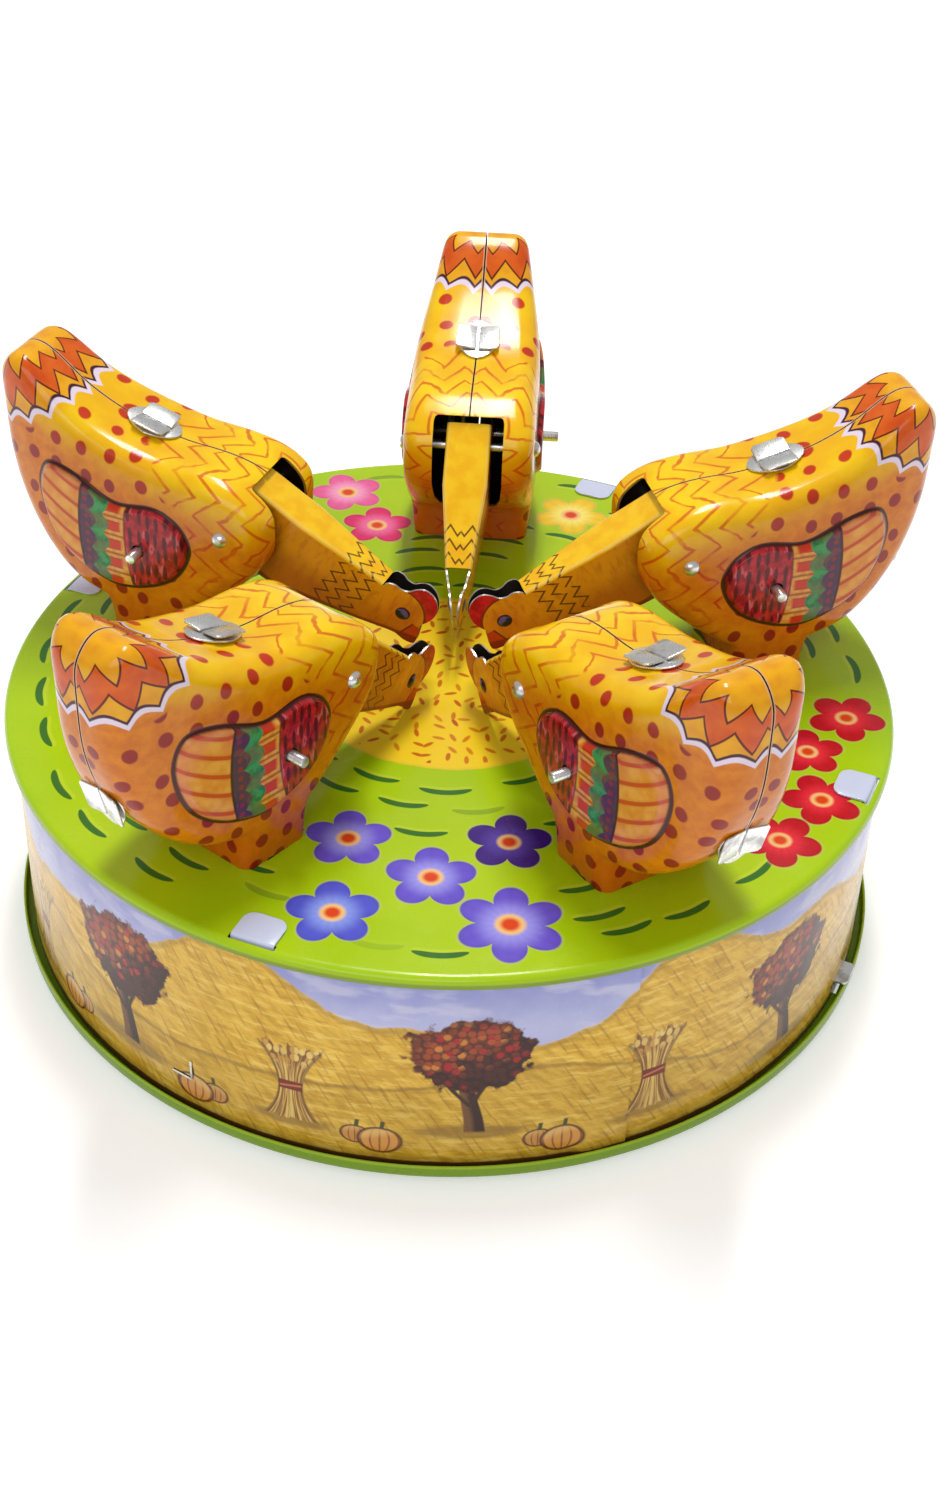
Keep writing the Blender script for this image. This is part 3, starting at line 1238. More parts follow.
def make_lid(print_paint, edge_paint):
    inner = LID_RADIUS - TIN
    rim = LID_TOP - LID_RIM_DEPTH
    centre = (LID_RADIUS - LID_BEND, LID_TOP - LID_BEND)
    flat = LID_RADIUS - LID_BEND - 0.3
    profile = [(0.0, LID_TOP), (flat - 12.0, LID_TOP), (flat, LID_TOP)]
    profile += arc(centre, LID_BEND, 90.0, 0.0, 8)
    profile += [(LID_RADIUS, rim + 0.15), (LID_RADIUS - 0.1, rim), (inner + 0.1, rim), (inner, rim + 0.15)]
    profile += arc(centre, LID_BEND - TIN, 0.0, 90.0, 5)
    profile += [(flat, LID_TOP - TIN), (0.0, LID_TOP - TIN)]
    mesh = painted(turned("lid", profile, DRUM_STEPS), print_paint, edge_paint)
    cutters = slots(LID_TOP)
    for _, angle, _, _ in HENS:
        for side in (-1, 1):
            spot = (FOOT_TAB_PLACE, side * (FOOT_HALF_WIDTH - 0.36), LID_TOP - TIN / 2)
            cutters.append(block(spot, FOOT_SLOT, angle))
        cutters.append(peg((WIRE_PLACE, WIRE_OFFSET, LID_TOP - TIN / 2), WIRE_HOLE, 3.0, "Z", angle))
    mesh = boolean(mesh, joined("holes", cutters), paint=edge_paint)
    piece("lid", mesh, "toy_base", ["lid"])


def band_path():
    """Stations round the band, as (radius, angle), to where it laps over its own start."""
    last = SEAM_ANGLE + 360.0 - 2 * JOGGLE_ANGLE
    count = 176
    path = [(BAND_RADIUS, SEAM_ANGLE + (last - SEAM_ANGLE) * i / count) for i in range(count + 1)]
    rise = BAND_TIN + CLEAR
    for share in (0.2, 0.4, 0.6, 0.8, 1.0):
        lift = (3 - 2 * share) * share * share
        path.append((BAND_RADIUS + rise * lift, last + JOGGLE_ANGLE * share))
    for share in (0.25, 0.5, 0.75, 1.0):
        path.append((BAND_RADIUS + rise, last + JOGGLE_ANGLE + LAP_ANGLE * share))
    return path


def tab_mesh(face, way, paint):
    """A tab of the band: out through a plate's slot, folded in flat, with a rounded end."""
    level = face + way * (TAB_RISE + BAND_TIN / 2)
    path = [(BAND_RADIUS, level - way * 4.2), (BAND_RADIUS, level - way * TAB_BEND)]
    for i in range(1, 7):
        turn = math.pi / 2 * i / 6
        inward, short = TAB_BEND * (1 - math.cos(turn)), TAB_BEND * (1 - math.sin(turn))
        path.append((BAND_RADIUS - inward, level - way * short))
    end = BAND_RADIUS - TAB_LENGTH
    path.append((end + TAB_ROUND, level))
    path += [(end + TAB_ROUND * (1 - math.sin(math.pi / 2 * i / 8)), level) for i in range(1, 9)]
    bm = bmesh.new()
    rows = []
    for radius, height in path:
        inset = max(0.0, end + TAB_ROUND - radius)
        half = TAB_WIDTH / 2 - TAB_ROUND + math.sqrt(max(0.0, TAB_ROUND**2 - inset**2))
        row = []
        for share in (-1.0, -0.5, 0.0, 0.5, 1.0):
            y = share * half
            row.append(bm.verts.new((radius - y * y / (2 * BAND_RADIUS), y, height)))
        rows.append(row)
    for here, there in zip(rows, rows[1:]):
        for i in range(4):
            bm.faces.new((here[i], here[i + 1], there[i + 1], there[i]))
    bmesh.ops.recalc_face_normals(bm, faces=bm.faces)
    mesh = to_mesh(bm, "tab", outward=False)
    mesh = modified(mesh, "SOLIDIFY", thickness=BAND_TIN - TAB_SKIN, offset=0.0)
    mesh = bevelled(mesh, 0.08, 2, 50.0)
    first = math.radians(TAB_ANGLES[0])
    return grown(RING, mesh, paint, Count=len(TAB_ANGLES), First=first)


def make_band(print_paint, edge_paint, tab_paint, lip_paint):
    middle = (BAND_LOW + BAND_HIGH) / 2
    line = path_mesh("side_band", [(*polar(radius, angle), middle) for radius, angle in band_path()])
    mesh = grown(STRIP, line, print_paint, Width=BAND_HIGH - BAND_LOW, Thickness=BAND_TIN)
    mesh.materials.append(edge_paint)
    lever_reach = LEVER_TIP - LEVER_PIVOT
    lever_way = 2 * LEVER_HALF_WIDTH + 2 * lever_reach * math.sin(math.radians(LEVER_SWING))
    cutters = [
        peg((KEY_PLACE[0], BAND_RADIUS, KEY_PLACE[1]), KEY_HOLE, CUT_DEPTH, "Y", 0.0, 40),
        block((BAND_RADIUS, 0.0, LEVER_LEVEL + LEVER_TIN / 2), (CUT_DEPTH, lever_way, 1.3), LEVER_ANGLE),
        block((BAND_RADIUS, 0.0, SLIT_LEVEL), (CUT_DEPTH, SLIT_LONG, SLIT_WIDE), SLIT_ANGLE),
    ]
    mesh = boolean(mesh, joined("openings", cutters), paint=edge_paint)
    half = SLIT_LONG / 2
    upright = block((BAND_RADIUS, half, SLIT_LEVEL + half), (CUT_DEPTH, SLIT_WIDE, SLIT_LONG), SLIT_ANGLE)
    mesh = boolean(mesh, upright, paint=edge_paint)
    lips = [
        block((BAND_RADIUS + 0.3, 0.0, 9.9), (0.3, 4.6, 0.5), SLIT_ANGLE),
        block((BAND_RADIUS + 0.3, SLIT_LONG / 2, 12.2), (0.3, 0.5, 4.6), SLIT_ANGLE),
    ]
    lips = painted(bevelled(joined("lips", lips), 0.08, 2, 50.0), lip_paint)
    tabs = [tab_mesh(LID_TOP, 1, tab_paint), tab_mesh(LEDGE, -1, tab_paint)]
    mesh = joined_with_paints("side_band", [mesh, lips, *tabs])
    piece("side_band", mesh, "toy_base", ["side_band"])


def make_pan(paint):
    wall = PAN_RADIUS - TIN
    top = LEDGE + TIN
    step_end = FLOOR_RADIUS + LEDGE
    profile = [(0.0, TIN), (FLOOR_RADIUS - 0.6, TIN), (FLOOR_RADIUS, TIN + 0.12)]
    profile += [(step_end, top - 0.1), (step_end + 0.5, top)]
    profile += arc((wall - 0.6, top + 0.6), 0.6, -90.0, 0.0, 4)
    profile += arc((PAN_RADIUS - TIN / 2, PAN_TOP - TIN / 2), TIN / 2, 180.0, 0.0, 6)
    profile += arc((PAN_RADIUS - 1.1, LEDGE + 1.1), 1.1, 0.0, -90.0, 5)
    profile += [(step_end + 0.6, LEDGE), (step_end, LEDGE - 0.1)]
    profile += [(FLOOR_RADIUS + 0.35, 0.12), (FLOOR_RADIUS - 0.2, 0.0), (0.0, 0.0)]
    mesh = painted(turned("base_pan", profile, DRUM_STEPS), paint)
    mesh = boolean(mesh, joined("slots", slots(LEDGE)), paint=paint)
    piece("base_pan", mesh, "toy_base", ["base_pan"])


# Hens' bodies
def half_width(x):
    past = max(0.0, x - TAIL_FROM) / TAIL_LENGTH
    return BODY_HALF_WIDTH - TAIL_NARROWING * past * past


def flank(x, z, inside=0.0):
    """How far out the flank is. It narrows to the foot, and swells a little in its middle."""
    foot = max(0.0, min(1.0, (FOOT_HIGH - z) / FOOT_HIGH))
    swell = min(1.0, inside / 10.0)
    narrowing = (BODY_HALF_WIDTH - FOOT_HALF_WIDTH) * foot
    return half_width(x) - narrowing + FLANK_SWELL * swell * swell * (3 - 2 * swell)


def relaxed(values, passes):
    """The values with the kinks between them eased. Both ends stay."""
    for _ in range(passes):
        middle = [(a + b * 2 + c) / 4 for a, b, c in zip(values, values[1:], values[2:])]
        values = [values[0], *middle, values[-1]]
    return values


def body_line():
    """The outline from the breast round the tail to the foot, and its points inside the rounding."""
    high = max(z for _, z in BODY)
    near, far = min(x for x, _ in BODY), max(x for x, _ in BODY) - 0.5
    points = curve_through(BODY, BODY_STEPS)
    points = relaxed([Vector((max(near, min(x, far)), min(z, high))) for x, z in points], 6)
    edges = []
    for index, point in enumerate(points):
        before, after = points[max(index - 1, 0)], points[min(index + 1, len(points) - 1)]
        along = (after - before).normalized()
        share = max(0.0, min(1.0, (point.y - 7.5) / 8.0))
        rounding = LOW_ROUNDING + (BODY_ROUNDING - LOW_ROUNDING) * share
        for corner, less in TIGHTER:
            rounding -= less * math.exp(-((point - Vector(corner)).length_squared) / 40.0)
        edges.append(point + Vector((along.y, -along.x)) * rounding)
    return points, relaxed(edges, 8)


def body_rows():
    """The outline with the foot's, as (point, point inside the rounding, open to the next one)."""
    points, edges = body_line()
    rows = [(point, edge, False) for point, edge in zip(points, edges)]
    for share in (0.25, 0.5, 0.75, 1.0):
        point = points[-1] + (Vector((FOOT_BACK, FOOT_LOW)) - points[-1]) * share
        inset = LOW_ROUNDING + (FOOT_ROUNDING - LOW_ROUNDING) * share
        rows.append((point, point - Vector((inset, 0.0)), share == 1.0))
    for i in range(1, 10):
        x = FOOT_BACK - FOOT_ROUNDING + (FOOT_FRONT - FOOT_BACK + 2 * FOOT_ROUNDING) * i / 10
        rows.append((Vector((x, FOOT_LOW)), None, True))
    for share in (1.0, 0.75, 0.5, 0.25):
        point = points[0] + (Vector((FOOT_FRONT, FOOT_LOW)) - points[0]) * share
        inset = LOW_ROUNDING + (FOOT_ROUNDING - LOW_ROUNDING) * share
        rows.append((point, point + Vector((inset, 0.0)), False))
    return rows


def wing_reach(line, angle):
    """How far the wing's outline is from its centre, in one direction."""
    centre = Vector(WING_CENTRE)
    way = Vector((math.cos(angle), math.sin(angle)))
    best = 0.0
    for first, second in zip(line, line[1:] + line[:1]):
        a, b = first - centre, second - centre
        cross_a, cross_b = way.cross(a), way.cross(b)
        if cross_a * cross_b > 0 or cross_a == cross_b:
            continue
        hit = a + (b - a) * (cross_a / (cross_a - cross_b))
        best = max(best, hit.dot(way))
    return best


def ways_to_wing(rows):
    """The angle at which each column of faces meets the wing. Round the tail they are spread by length."""
    centre = Vector(WING_CENTRE)
    edges = [edge or point for point, edge, _ in rows]
    angles = []
    for edge in edges:
        out = edge - centre
        turn = math.atan2(out.y, out.x)
        if angles:
            turn += 2 * math.pi * round((angles[-1] - turn) / (2 * math.pi))
        angles.append(min(turn, angles[-1] - 0.004) if angles else turn)
    first, last = (place * BODY_STEPS for place in TAIL_SPAN)
    lengths = [(edges[i + 1] - edges[i]).length for i in range(first, last)]
    begin, change = angles[first], math.remainder(angles[last] - angles[first], 2 * math.pi)
    done = 0.0
    for i in range(first + 1, last):
        done += lengths[i - first - 1]
        angles[i] = begin + change * done / sum(lengths)
    return relaxed(angles, 10)


# A column of the sheet: shares of the way over straight edge and flank, then the wing's inset and rise
ROUND_STEPS = 7
STRAIGHT_SHARES = (0.0, 0.06, 0.5)
FLANK_SHARES = (0.15, 0.35, 0.6, 0.82, 0.94)
WING_RISE = ((0.0, 0.0), (0.25, 0.12), (0.5, 0.42), (0.75, 0.78), (1.0, 0.96), (1.3, 1.0))
EDGE_ROWS = len(STRAIGHT_SHARES) + ROUND_STEPS


def rounded_edge(here, edge):
    """Points from the seam over the rounded edge, as (x, y, z, place in the flat print).

    The flat print is the sheet before it was pressed: over the rounded edge it runs straight on."""
    rounding = (edge - here).length
    inside = (edge - here) / rounding
    width = flank(*here)
    quarter = rounding * math.pi / 2
    straight = width - rounding - HALF_GAP
    points = []
    for share in STRAIGHT_SHARES:
        flat = edge - inside * (quarter + straight * (1 - share))
        points.append((here.x, HALF_GAP + straight * share, here.y, flat))
    for share in (number / ROUND_STEPS for number in range(ROUND_STEPS + 1)):
        turn = math.pi / 2 * share
        spot = here + (edge - here) * (1 - math.cos(turn))
        wider = (flank(edge.x, edge.y, 4.0) - width) * share
        y = width + wider - rounding * (1 - math.sin(turn))
        points.append((spot.x, y, spot.y, edge - inside * (quarter * (1 - share))))
    return points


def column_points(here, edge, way, reach):
    """A column of the sheet, from the seam to near the wing's middle."""
    if edge is None:
        edge = here
        points = [None] * EDGE_ROWS + [(here.x, flank(*here), here.y, here)]
    else:
        points = rounded_edge(here, edge)
    centre = Vector(WING_CENTRE)
    outer = (edge - centre).length
    for share in FLANK_SHARES:
        spot = edge + (centre + way * reach - edge) * share
        points.append((spot.x, flank(*spot, (outer - reach) * share + 4.0), spot.y, spot))
    for inset, rise in WING_RISE:
        spot = centre + way * (reach - inset * WING_EDGE)
        points.append((spot.x, flank(*spot, 20.0) + WING_PRESS * rise, spot.y, spot))
    for share in (0.75, 0.5, 0.25):
        spot = centre + way * (reach - WING_RISE[-1][0] * WING_EDGE) * share
        points.append((spot.x, flank(*spot, 20.0) + WING_PRESS, spot.y, spot))
    return points


def wing_distance(spot, wing):
    """How far inside the wing's outline a point lies. It is negative outside."""
    near = 99.0
    for first, second in zip(wing, wing[1:] + wing[:1]):
        along = second - first
        t = max(0.0, min(1.0, (spot - first).dot(along) / along.length_squared))
        near = min(near, (first + along * t - spot).length)
    out = spot - Vector(WING_CENTRE)
    is_out = out.length > 1e-6 and out.length > wing_reach(wing, math.atan2(out.y, out.x)) + 1e-6
    return -near if is_out else near


def half_sheet(side):
    """One pressed half as an open sheet, and where each of its points lies in the flat print."""
    rows = body_rows()
    wing = curve_through(WING, 6, closed=True)
    centre = Vector(WING_CENTRE)
    bm = bmesh.new()
    prints = []

    def add(x, y, z, flat):
        prints.append(flat)
        return bm.verts.new((x, side * y, z))

    columns = []
    for (here, edge, _), angle in zip(rows, ways_to_wing(rows)):
        way = Vector((math.cos(angle), math.sin(angle)))
        points = column_points(here, edge, way, wing_reach(wing, angle))
        columns.append([point and add(*point) for point in points])
    middle = add(centre.x, flank(*centre, 20.0) + WING_PRESS, centre.y, centre)
    for index, column in enumerate(columns):
        other = columns[(index + 1) % len(columns)]
        for i in range(len(column) - 1):
            corners = [column[i], column[i + 1], other[i + 1], other[i]]
            if None not in corners and not (rows[index][2] and i < EDGE_ROWS):
                bm.faces.new(corners)
        bm.faces.new((column[-1], middle, other[-1]))
    bmesh.ops.recalc_face_normals(bm, faces=bm.faces)
    bm.normal_update()
    bm.verts.index_update()
    if middle.normal.y * side < 0:
        bmesh.ops.reverse_faces(bm, faces=bm.faces)
    sheet = {
        "points": [vert.co.copy() for vert in bm.verts],
        "faces": [[vert.index for vert in face.verts] for face in bm.faces],
        "print": prints,
        "wing": [wing_distance(Vector((vert.co.x, vert.co.z)), wing) for vert in bm.verts],
    }
    return to_mesh(bm, "half", outward=False), sheet


def half_mesh(side, paints):
    """A pressed half with its thickness, its slot for the neck and its holes for the pins."""
    _, inner_paint, edge_paint = paints
    sheet, flat = half_sheet(side)
    mesh = solidified(painted(sheet, *paints), TIN)
    along_x = Matrix(((0, 0, 1, 0), (1, 0, 0, 0), (0, 1, 0, 0), (0, 0, 0, 1)))
    slot = list(SLOT) + [(-x, z) for x, z in SLOT[::-1]]
    cutters = [
        prism("slot", slot, 23.5, 47.0, along_x),
        peg((PIVOT[0], side * BODY_HALF_WIDTH, PIVOT[1]), RIVET_HOLE, 4.0, "Y"),
        peg((ROD[0], side * BODY_HALF_WIDTH, ROD[1] + 0.1), ROD_HOLE, 6.0, "Y"),
    ]
    mesh = boolean(mesh, joined("cuts", cutters), paint=edge_paint)
    near = FOOT_HALF_WIDTH - 0.44
    tab = [(0.0, 1.5), (0.0, -1.5), (3.2, -1.5), (3.2, -1.12), (0.38, -1.12), (0.38, 1.5)]
    tab = [(side * (near + y), z) for y, z in tab]
    foot = painted(prism("foot_tab", tab, FOOT_TAB_PLACE - 2.5, FOOT_TAB_PLACE + 2.5, along_x), inner_paint)
    mesh = joined_with_paints("half", [mesh, foot])
    write_print(mesh, flat)
    return mesh


def joined_with_paints(name, meshes):
    """Meshes made one, each face keeping its own paint."""
    paints = []
    bm = bmesh.new()
    for mesh in meshes:
        for paint in mesh.materials:
            if paint not in paints:
                paints.append(paint)
        start = len(bm.faces)
        bm.from_mesh(mesh)
        bm.faces.ensure_lookup_table()
        order = [paints.index(paint) for paint in mesh.materials]
        for face in bm.faces[start:]:
            face.material_index = order[face.material_index] if order else 0
    result = to_mesh(bm, name, outward=False)
    for paint in paints:
        result.materials.append(paint)
    return result


def write_print(mesh, flat):
    """Gives each point of the finished half its place in the flat print of the sheet it was made from."""
    triangles = []
    for face in flat["faces"]:
        triangles.append(face[:3])
        if len(face) == 4:
            triangles.append([face[0], face[2], face[3]])
    points = flat["points"]
    tree = BVHTree.FromPolygons(points, triangles)
    places, wings, owns = [], [], []
    for vert in mesh.vertices:
        spot, _, number, _ = tree.find_nearest(vert.co)
        corners = triangles[number]
        weights = barycentric(spot, *(points[corner] for corner in corners))
        place, depth = Vector((0.0, 0.0)), 0.0
        for corner, weight in zip(corners, weights):
            place += flat["print"][corner] * weight
            depth += flat["wing"][corner] * weight
        places += (*place, 0.0)
        wings.append(depth)
        owns += tuple(vert.co)
    write_values(mesh, "print", "FLOAT_VECTOR", places)
    write_values(mesh, "wing", "FLOAT", wings)
    write_values(mesh, "hen", "FLOAT_VECTOR", owns)


def write_values(mesh, name, kind, values):
    layer = mesh.attributes.new(name, kind, "POINT")
    layer.data.foreach_set("vector" if kind == "FLOAT_VECTOR" else "value", values)


def barycentric(spot, a, b, c):
    ab, ac, ap = b - a, c - a, spot - a
    d00, d01, d11 = ab.dot(ab), ab.dot(ac), ac.dot(ac)
    d20, d21 = ap.dot(ab), ap.dot(ac)
    scale = d00 * d11 - d01 * d01
    if abs(scale) < 1e-12:
        return 1.0, 0.0, 0.0
    v = (d11 * d20 - d01 * d21) / scale
    w = (d00 * d21 - d01 * d20) / scale
    return 1.0 - v - w, v, w


def tongue_mesh(stretch, paint):
    """A round-ended lip from one half with the other half's two square lips folded over it."""
    first, second = Vector(stretch[0]), Vector(stretch[1])
    middle = (first + second) / 2
    along = (second - first).normalized()
    rows = ((along.x, 0, -along.y, middle.x), (0, 1, 0, 0), (along.y, 0, along.x, middle.y), (0, 0, 0, 1))
    place = Matrix(rows)
    oval = [(5.3 * math.cos(a), 4.1 * math.sin(a) * (1 - 0.16 * abs(math.cos(a)))) for a in turns(36)]
    oval = [(x * TONGUE_SIZE, y * TONGUE_SIZE) for x, y in oval]
    lips = [bevelled(prism("lip", oval, 0.12, 0.55), 0.16, 3)]
    for side, tilt in ((-1, 5.0), (1, 9.0)):
        square = [(-3.3, 0.22), (2.9, 0.3), (3.1, 3.6), (2.5, 4.1), (-2.6, 4.2), (-3.2, 3.7)]
        square = [(x * TONGUE_SIZE, side * y * TONGUE_SIZE) for x, y in square][::side]
        lean = Matrix.Translation((0.0, 0.0, 0.62)) @ Matrix.Rotation(math.radians(side * tilt), 4, "X")
        lips.append(bevelled(prism("fold", square, 0.0, 0.42, lean), 0.15, 3))
    for side in (-1, 1):
        root = [(-2.6, 0.12), (2.6, 0.12), (2.6, 0.5), (-2.6, 0.5)]
        lips.append(prism("root", [(x, side * y) for x, y in root][::side], -0.6, 0.8))
    return painted(moved(joined("tongue", lips), place), paint)


# Hens' necks
def neck_spot(u, v):
    x = -math.cos(NECK_SLOPE) * u - math.sin(NECK_SLOPE) * v
    z = -math.sin(NECK_SLOPE) * u + math.cos(NECK_SLOPE) * v
    return x, z


def neck_width(u):
    if u <= NECK_WIDTHS[0][0]:
        return NECK_WIDTHS[0][1]
    for (start, wide), (end, narrow) in zip(NECK_WIDTHS, NECK_WIDTHS[1:]):
        if u <= end:
            return wide + (narrow - wide) * (u - start) / (end - start)
    return NECK_WIDTHS[-1][1]


def neck_sheet():
    """A folded channel: two side plates that run on as the head, and a web bent over between them."""
    start, end, bends = NECK_UNDER[-1][0], NECK_UNDER[0][0], 5
    stations = [start + (end - start) * i / NECK_STEPS for i in range(NECK_STEPS + 1)]
    comb = [(min(u, COMB_END), v) for u, v in curve_through(COMB, 5)]
    under = [tuple(point) for point in curve_through(NECK_UNDER, 4)]
    tail_under = [(u, low) for u, _, low in NECK_TAIL[::-1]]
    tail_over = [(u, high) for u, high, _ in NECK_TAIL]
    bm = bmesh.new()
    flat = []
    for side in (1, -1):
        top = [(u, NECK_TOP - NECK_BEND) for u in stations]
        outline = top + [COMB_FOOT] + comb + under + tail_under + tail_over
        verts = [bm.verts.new((u, side * 0.01, v)) for u, v in outline]
        bm.faces.new(verts if side < 0 else verts[::-1])
        flat.append(verts[: len(stations)])
    for u in NECK_CUTS:
        whole = bm.verts[:] + bm.edges[:] + bm.faces[:]
        bmesh.ops.bisect_plane(bm, geom=whole, dist=1e-5, plane_co=(u, 0, 0), plane_no=(1, 0, 0))
    for vert in bm.verts:
        vert.co.y = math.copysign(neck_width(vert.co.x), vert.co.y)
    rows = []
    for k, u in enumerate(stations):
        row = [flat[0][k]]
        for side, steps in ((1, range(1, bends + 1)), (-1, range(bends, 0, -1))):
            for turn in (math.pi / 2 * step / bends for step in steps):
                y = side * (neck_width(u) - NECK_BEND * (1 - math.cos(turn)))
                row.append(bm.verts.new((u, y, NECK_TOP - NECK_BEND * (1 - math.sin(turn)))))
        rows.append(row + [flat[1][k]])
    for here, there in zip(rows, rows[1:]):
        for i in range(len(here) - 1):
            bm.faces.new((here[i], here[i + 1], there[i + 1], there[i]))
    bmesh.ops.recalc_face_normals(bm, faces=bm.faces)
    bm.normal_update()
    if rows[8][3].normal.z < 0:
        bmesh.ops.reverse_faces(bm, faces=bm.faces)
    return to_mesh(bm, "neck", outward=False)


def eye_mesh(side, paint):
    dome = [(0.0, 0.45), (0.5, 0.42), (1.0, 0.3), (1.35, 0.12), (1.55, 0.02), (1.55, -0.1), (0.0, -0.1)]
    tilt = math.atan2(neck_width(EYE[0] - 1) - neck_width(EYE[0] + 1), 2.0)
    stand = Matrix.Translation((EYE[0], side * neck_width(EYE[0]), EYE[1]))
    stand = stand @ Matrix.Rotation(side * -math.pi / 2, 4, "X") @ Matrix.Rotation(tilt, 4, "Y")
    return painted(turned("eye", dome, 24, stand), paint)


def neck_mesh(paints):
    """The neck with its thickness, its holes and its eyes, turned to its place ahead of the rivet."""
    *plain, eye_paint = paints
    mesh = solidified(painted(neck_sheet(), *plain), NECK_TIN)
    lean = TAIL_LEVEL - NECK_SLOPE
    tail = (-TAIL_ARM * math.cos(lean), 5.0, TAIL_ARM * math.sin(lean))
    holes = [peg((0.0, 0.0, 0.0), RIVET_HOLE, 20.0, "Y"), peg(tail, 1.0, 8.0, "Y")]
    mesh = boolean(mesh, joined("holes", holes), paint=plain[-1])
    mesh = joined_with_paints("neck", [mesh, eye_mesh(-1, eye_paint), eye_mesh(1, eye_paint)])
    owns = []
    for vert in mesh.vertices:
        owns += (vert.co.x, vert.co.z, vert.co.y)
        x, z = neck_spot(vert.co.x, vert.co.z)
        vert.co = (x, vert.co.y, z)
    write_values(mesh, "neck", "FLOAT_VECTOR", owns)
    return mesh


ACROSS = Matrix.Rotation(math.pi / 2, 4, "X")


def rivet_mesh(paint):
    seat = BODY_HALF_WIDTH + CLEAR
    head = [(0.0, 1.1), (0.45, 1.06), (0.85, 0.94), (1.25, 0.68), (1.55, 0.34), (1.7, 0.0)]
    profile = [(r, seat + h) for r, h in head] + [(1.0, seat), (1.0, -seat)]
    profile += [(r, -seat - h) for r, h in head[::-1]]
    return painted(turned("rivet", profile, 28, ACROSS), paint)


def rod_mesh(paint):
    end = [(0.0, ROD_HALF), (0.7, ROD_HALF), (0.95, ROD_HALF - 0.08), (1.1, ROD_HALF - 0.3)]
    return painted(turned("rod", end + [(r, -h) for r, h in end[::-1]], 24, ACROSS), paint)


def wire_mesh(raised, paint):
    """From the neck's tail, down through the lid, to the rocker's hole."""
    drop = TAIL_ARM * (math.sin(TAIL_LEVEL) - math.sin(TAIL_LEVEL - math.radians(raised)))
    rise = TAIL_ARM * math.sin(TAIL_LEVEL) - drop
    top = PIVOT[1] + rise
    bottom = ROCKER_LEVEL + rise - HEN_FLOOR
    corners = [
        (WIRE_PLACE, WIRE_OFFSET + WIRE_HOOK, top),
        (WIRE_PLACE, WIRE_OFFSET, top),
        (WIRE_PLACE, WIRE_OFFSET, bottom),
        (WIRE_PLACE, WIRE_OFFSET - WIRE_HOOK, bottom),
    ]
    line = path_mesh("wire", rounded(corners, 1.2, 5))
    return grown(WIRE, line, paint, Radius=WIRE_RADIUS, Sides=14)


def make_hens(paint):
    halves = {}
    for side, word in ((-1, "left"), (1, "right")):
        halves[word] = half_mesh(side, (paint["hen"], paint["inside"], paint["edge"]))
    tongues = joined_with_paints("tongues", [tongue_mesh(stretch, paint["bright"]) for stretch in TONGUES])
    neck = neck_mesh((paint["neck"], paint["inside"], paint["edge"], paint["eye"]))
    rivet = rivet_mesh(paint["bright"])
    rod = rod_mesh(paint["bright"])
    for name, angle, raised, rod_side in HENS:
        place = round_hen(angle)
        for word, half in halves.items():
            made = moved(half.copy(), place)
            piece(f"{name}_{word}_half", made, "toy_base", [f"{name}_hen_{word}_half"], 50.0)
        piece(f"{name}_tongues", moved(tongues.copy(), place), "toy_base", ())
        pivot = place @ Matrix.Translation((PIVOT[0], 0.0, PIVOT[1]))
        made = moved(neck.copy(), pivot @ Matrix.Rotation(math.radians(raised), 4, "Y"))
        piece(f"{name}_neck", made, f"{name}_neck", [f"{name}_hen_neck"], 50.0)
        made = moved(rivet.copy(), pivot)
        piece(f"{name}_rivet", made, "toy_base", [f"{name}_hen_neck_rivet"])
        middle = Matrix.Translation((ROD[0], rod_side * (ROD_OUT - ROD_HALF), ROD[1]))
        made = moved(rod.copy(), place @ middle)
        piece(f"{name}_rod", made, "toy_base", [f"{name}_hen_stop_rod"])
        made = moved(wire_mesh(raised, paint["bright"]), place)
        piece(f"{name}_wire", made, f"{name}_wire", [f"{name}_push_wire"])


# Motor's outer pieces
def key_stand(out):
    """Stands a piece on the key's axis, with its own Z outward."""
    place = Matrix.Translation((KEY_PLACE[0], out, KEY_PLACE[1]))
    return place @ Matrix.Rotation(-math.pi / 2, 4, "X")


def make_bush(paint):
    profile = [(KEY_BORE, 0.42), (2.1, 0.5), (4.8, 0.5), (5.1, 0.4), (5.2, 0.2), (5.15, 0.02), (3.2, 0.0)]
    profile += [(3.2, -3.85), (3.05, -4.0), (2.05, -4.0), (KEY_BORE, -3.85)]
    mesh = painted(turned("key_bush", profile, 48, key_stand(BUSH_FACE)), paint)
    piece("key_bush", mesh, "toy_base", ["key_bush"], 30.0)


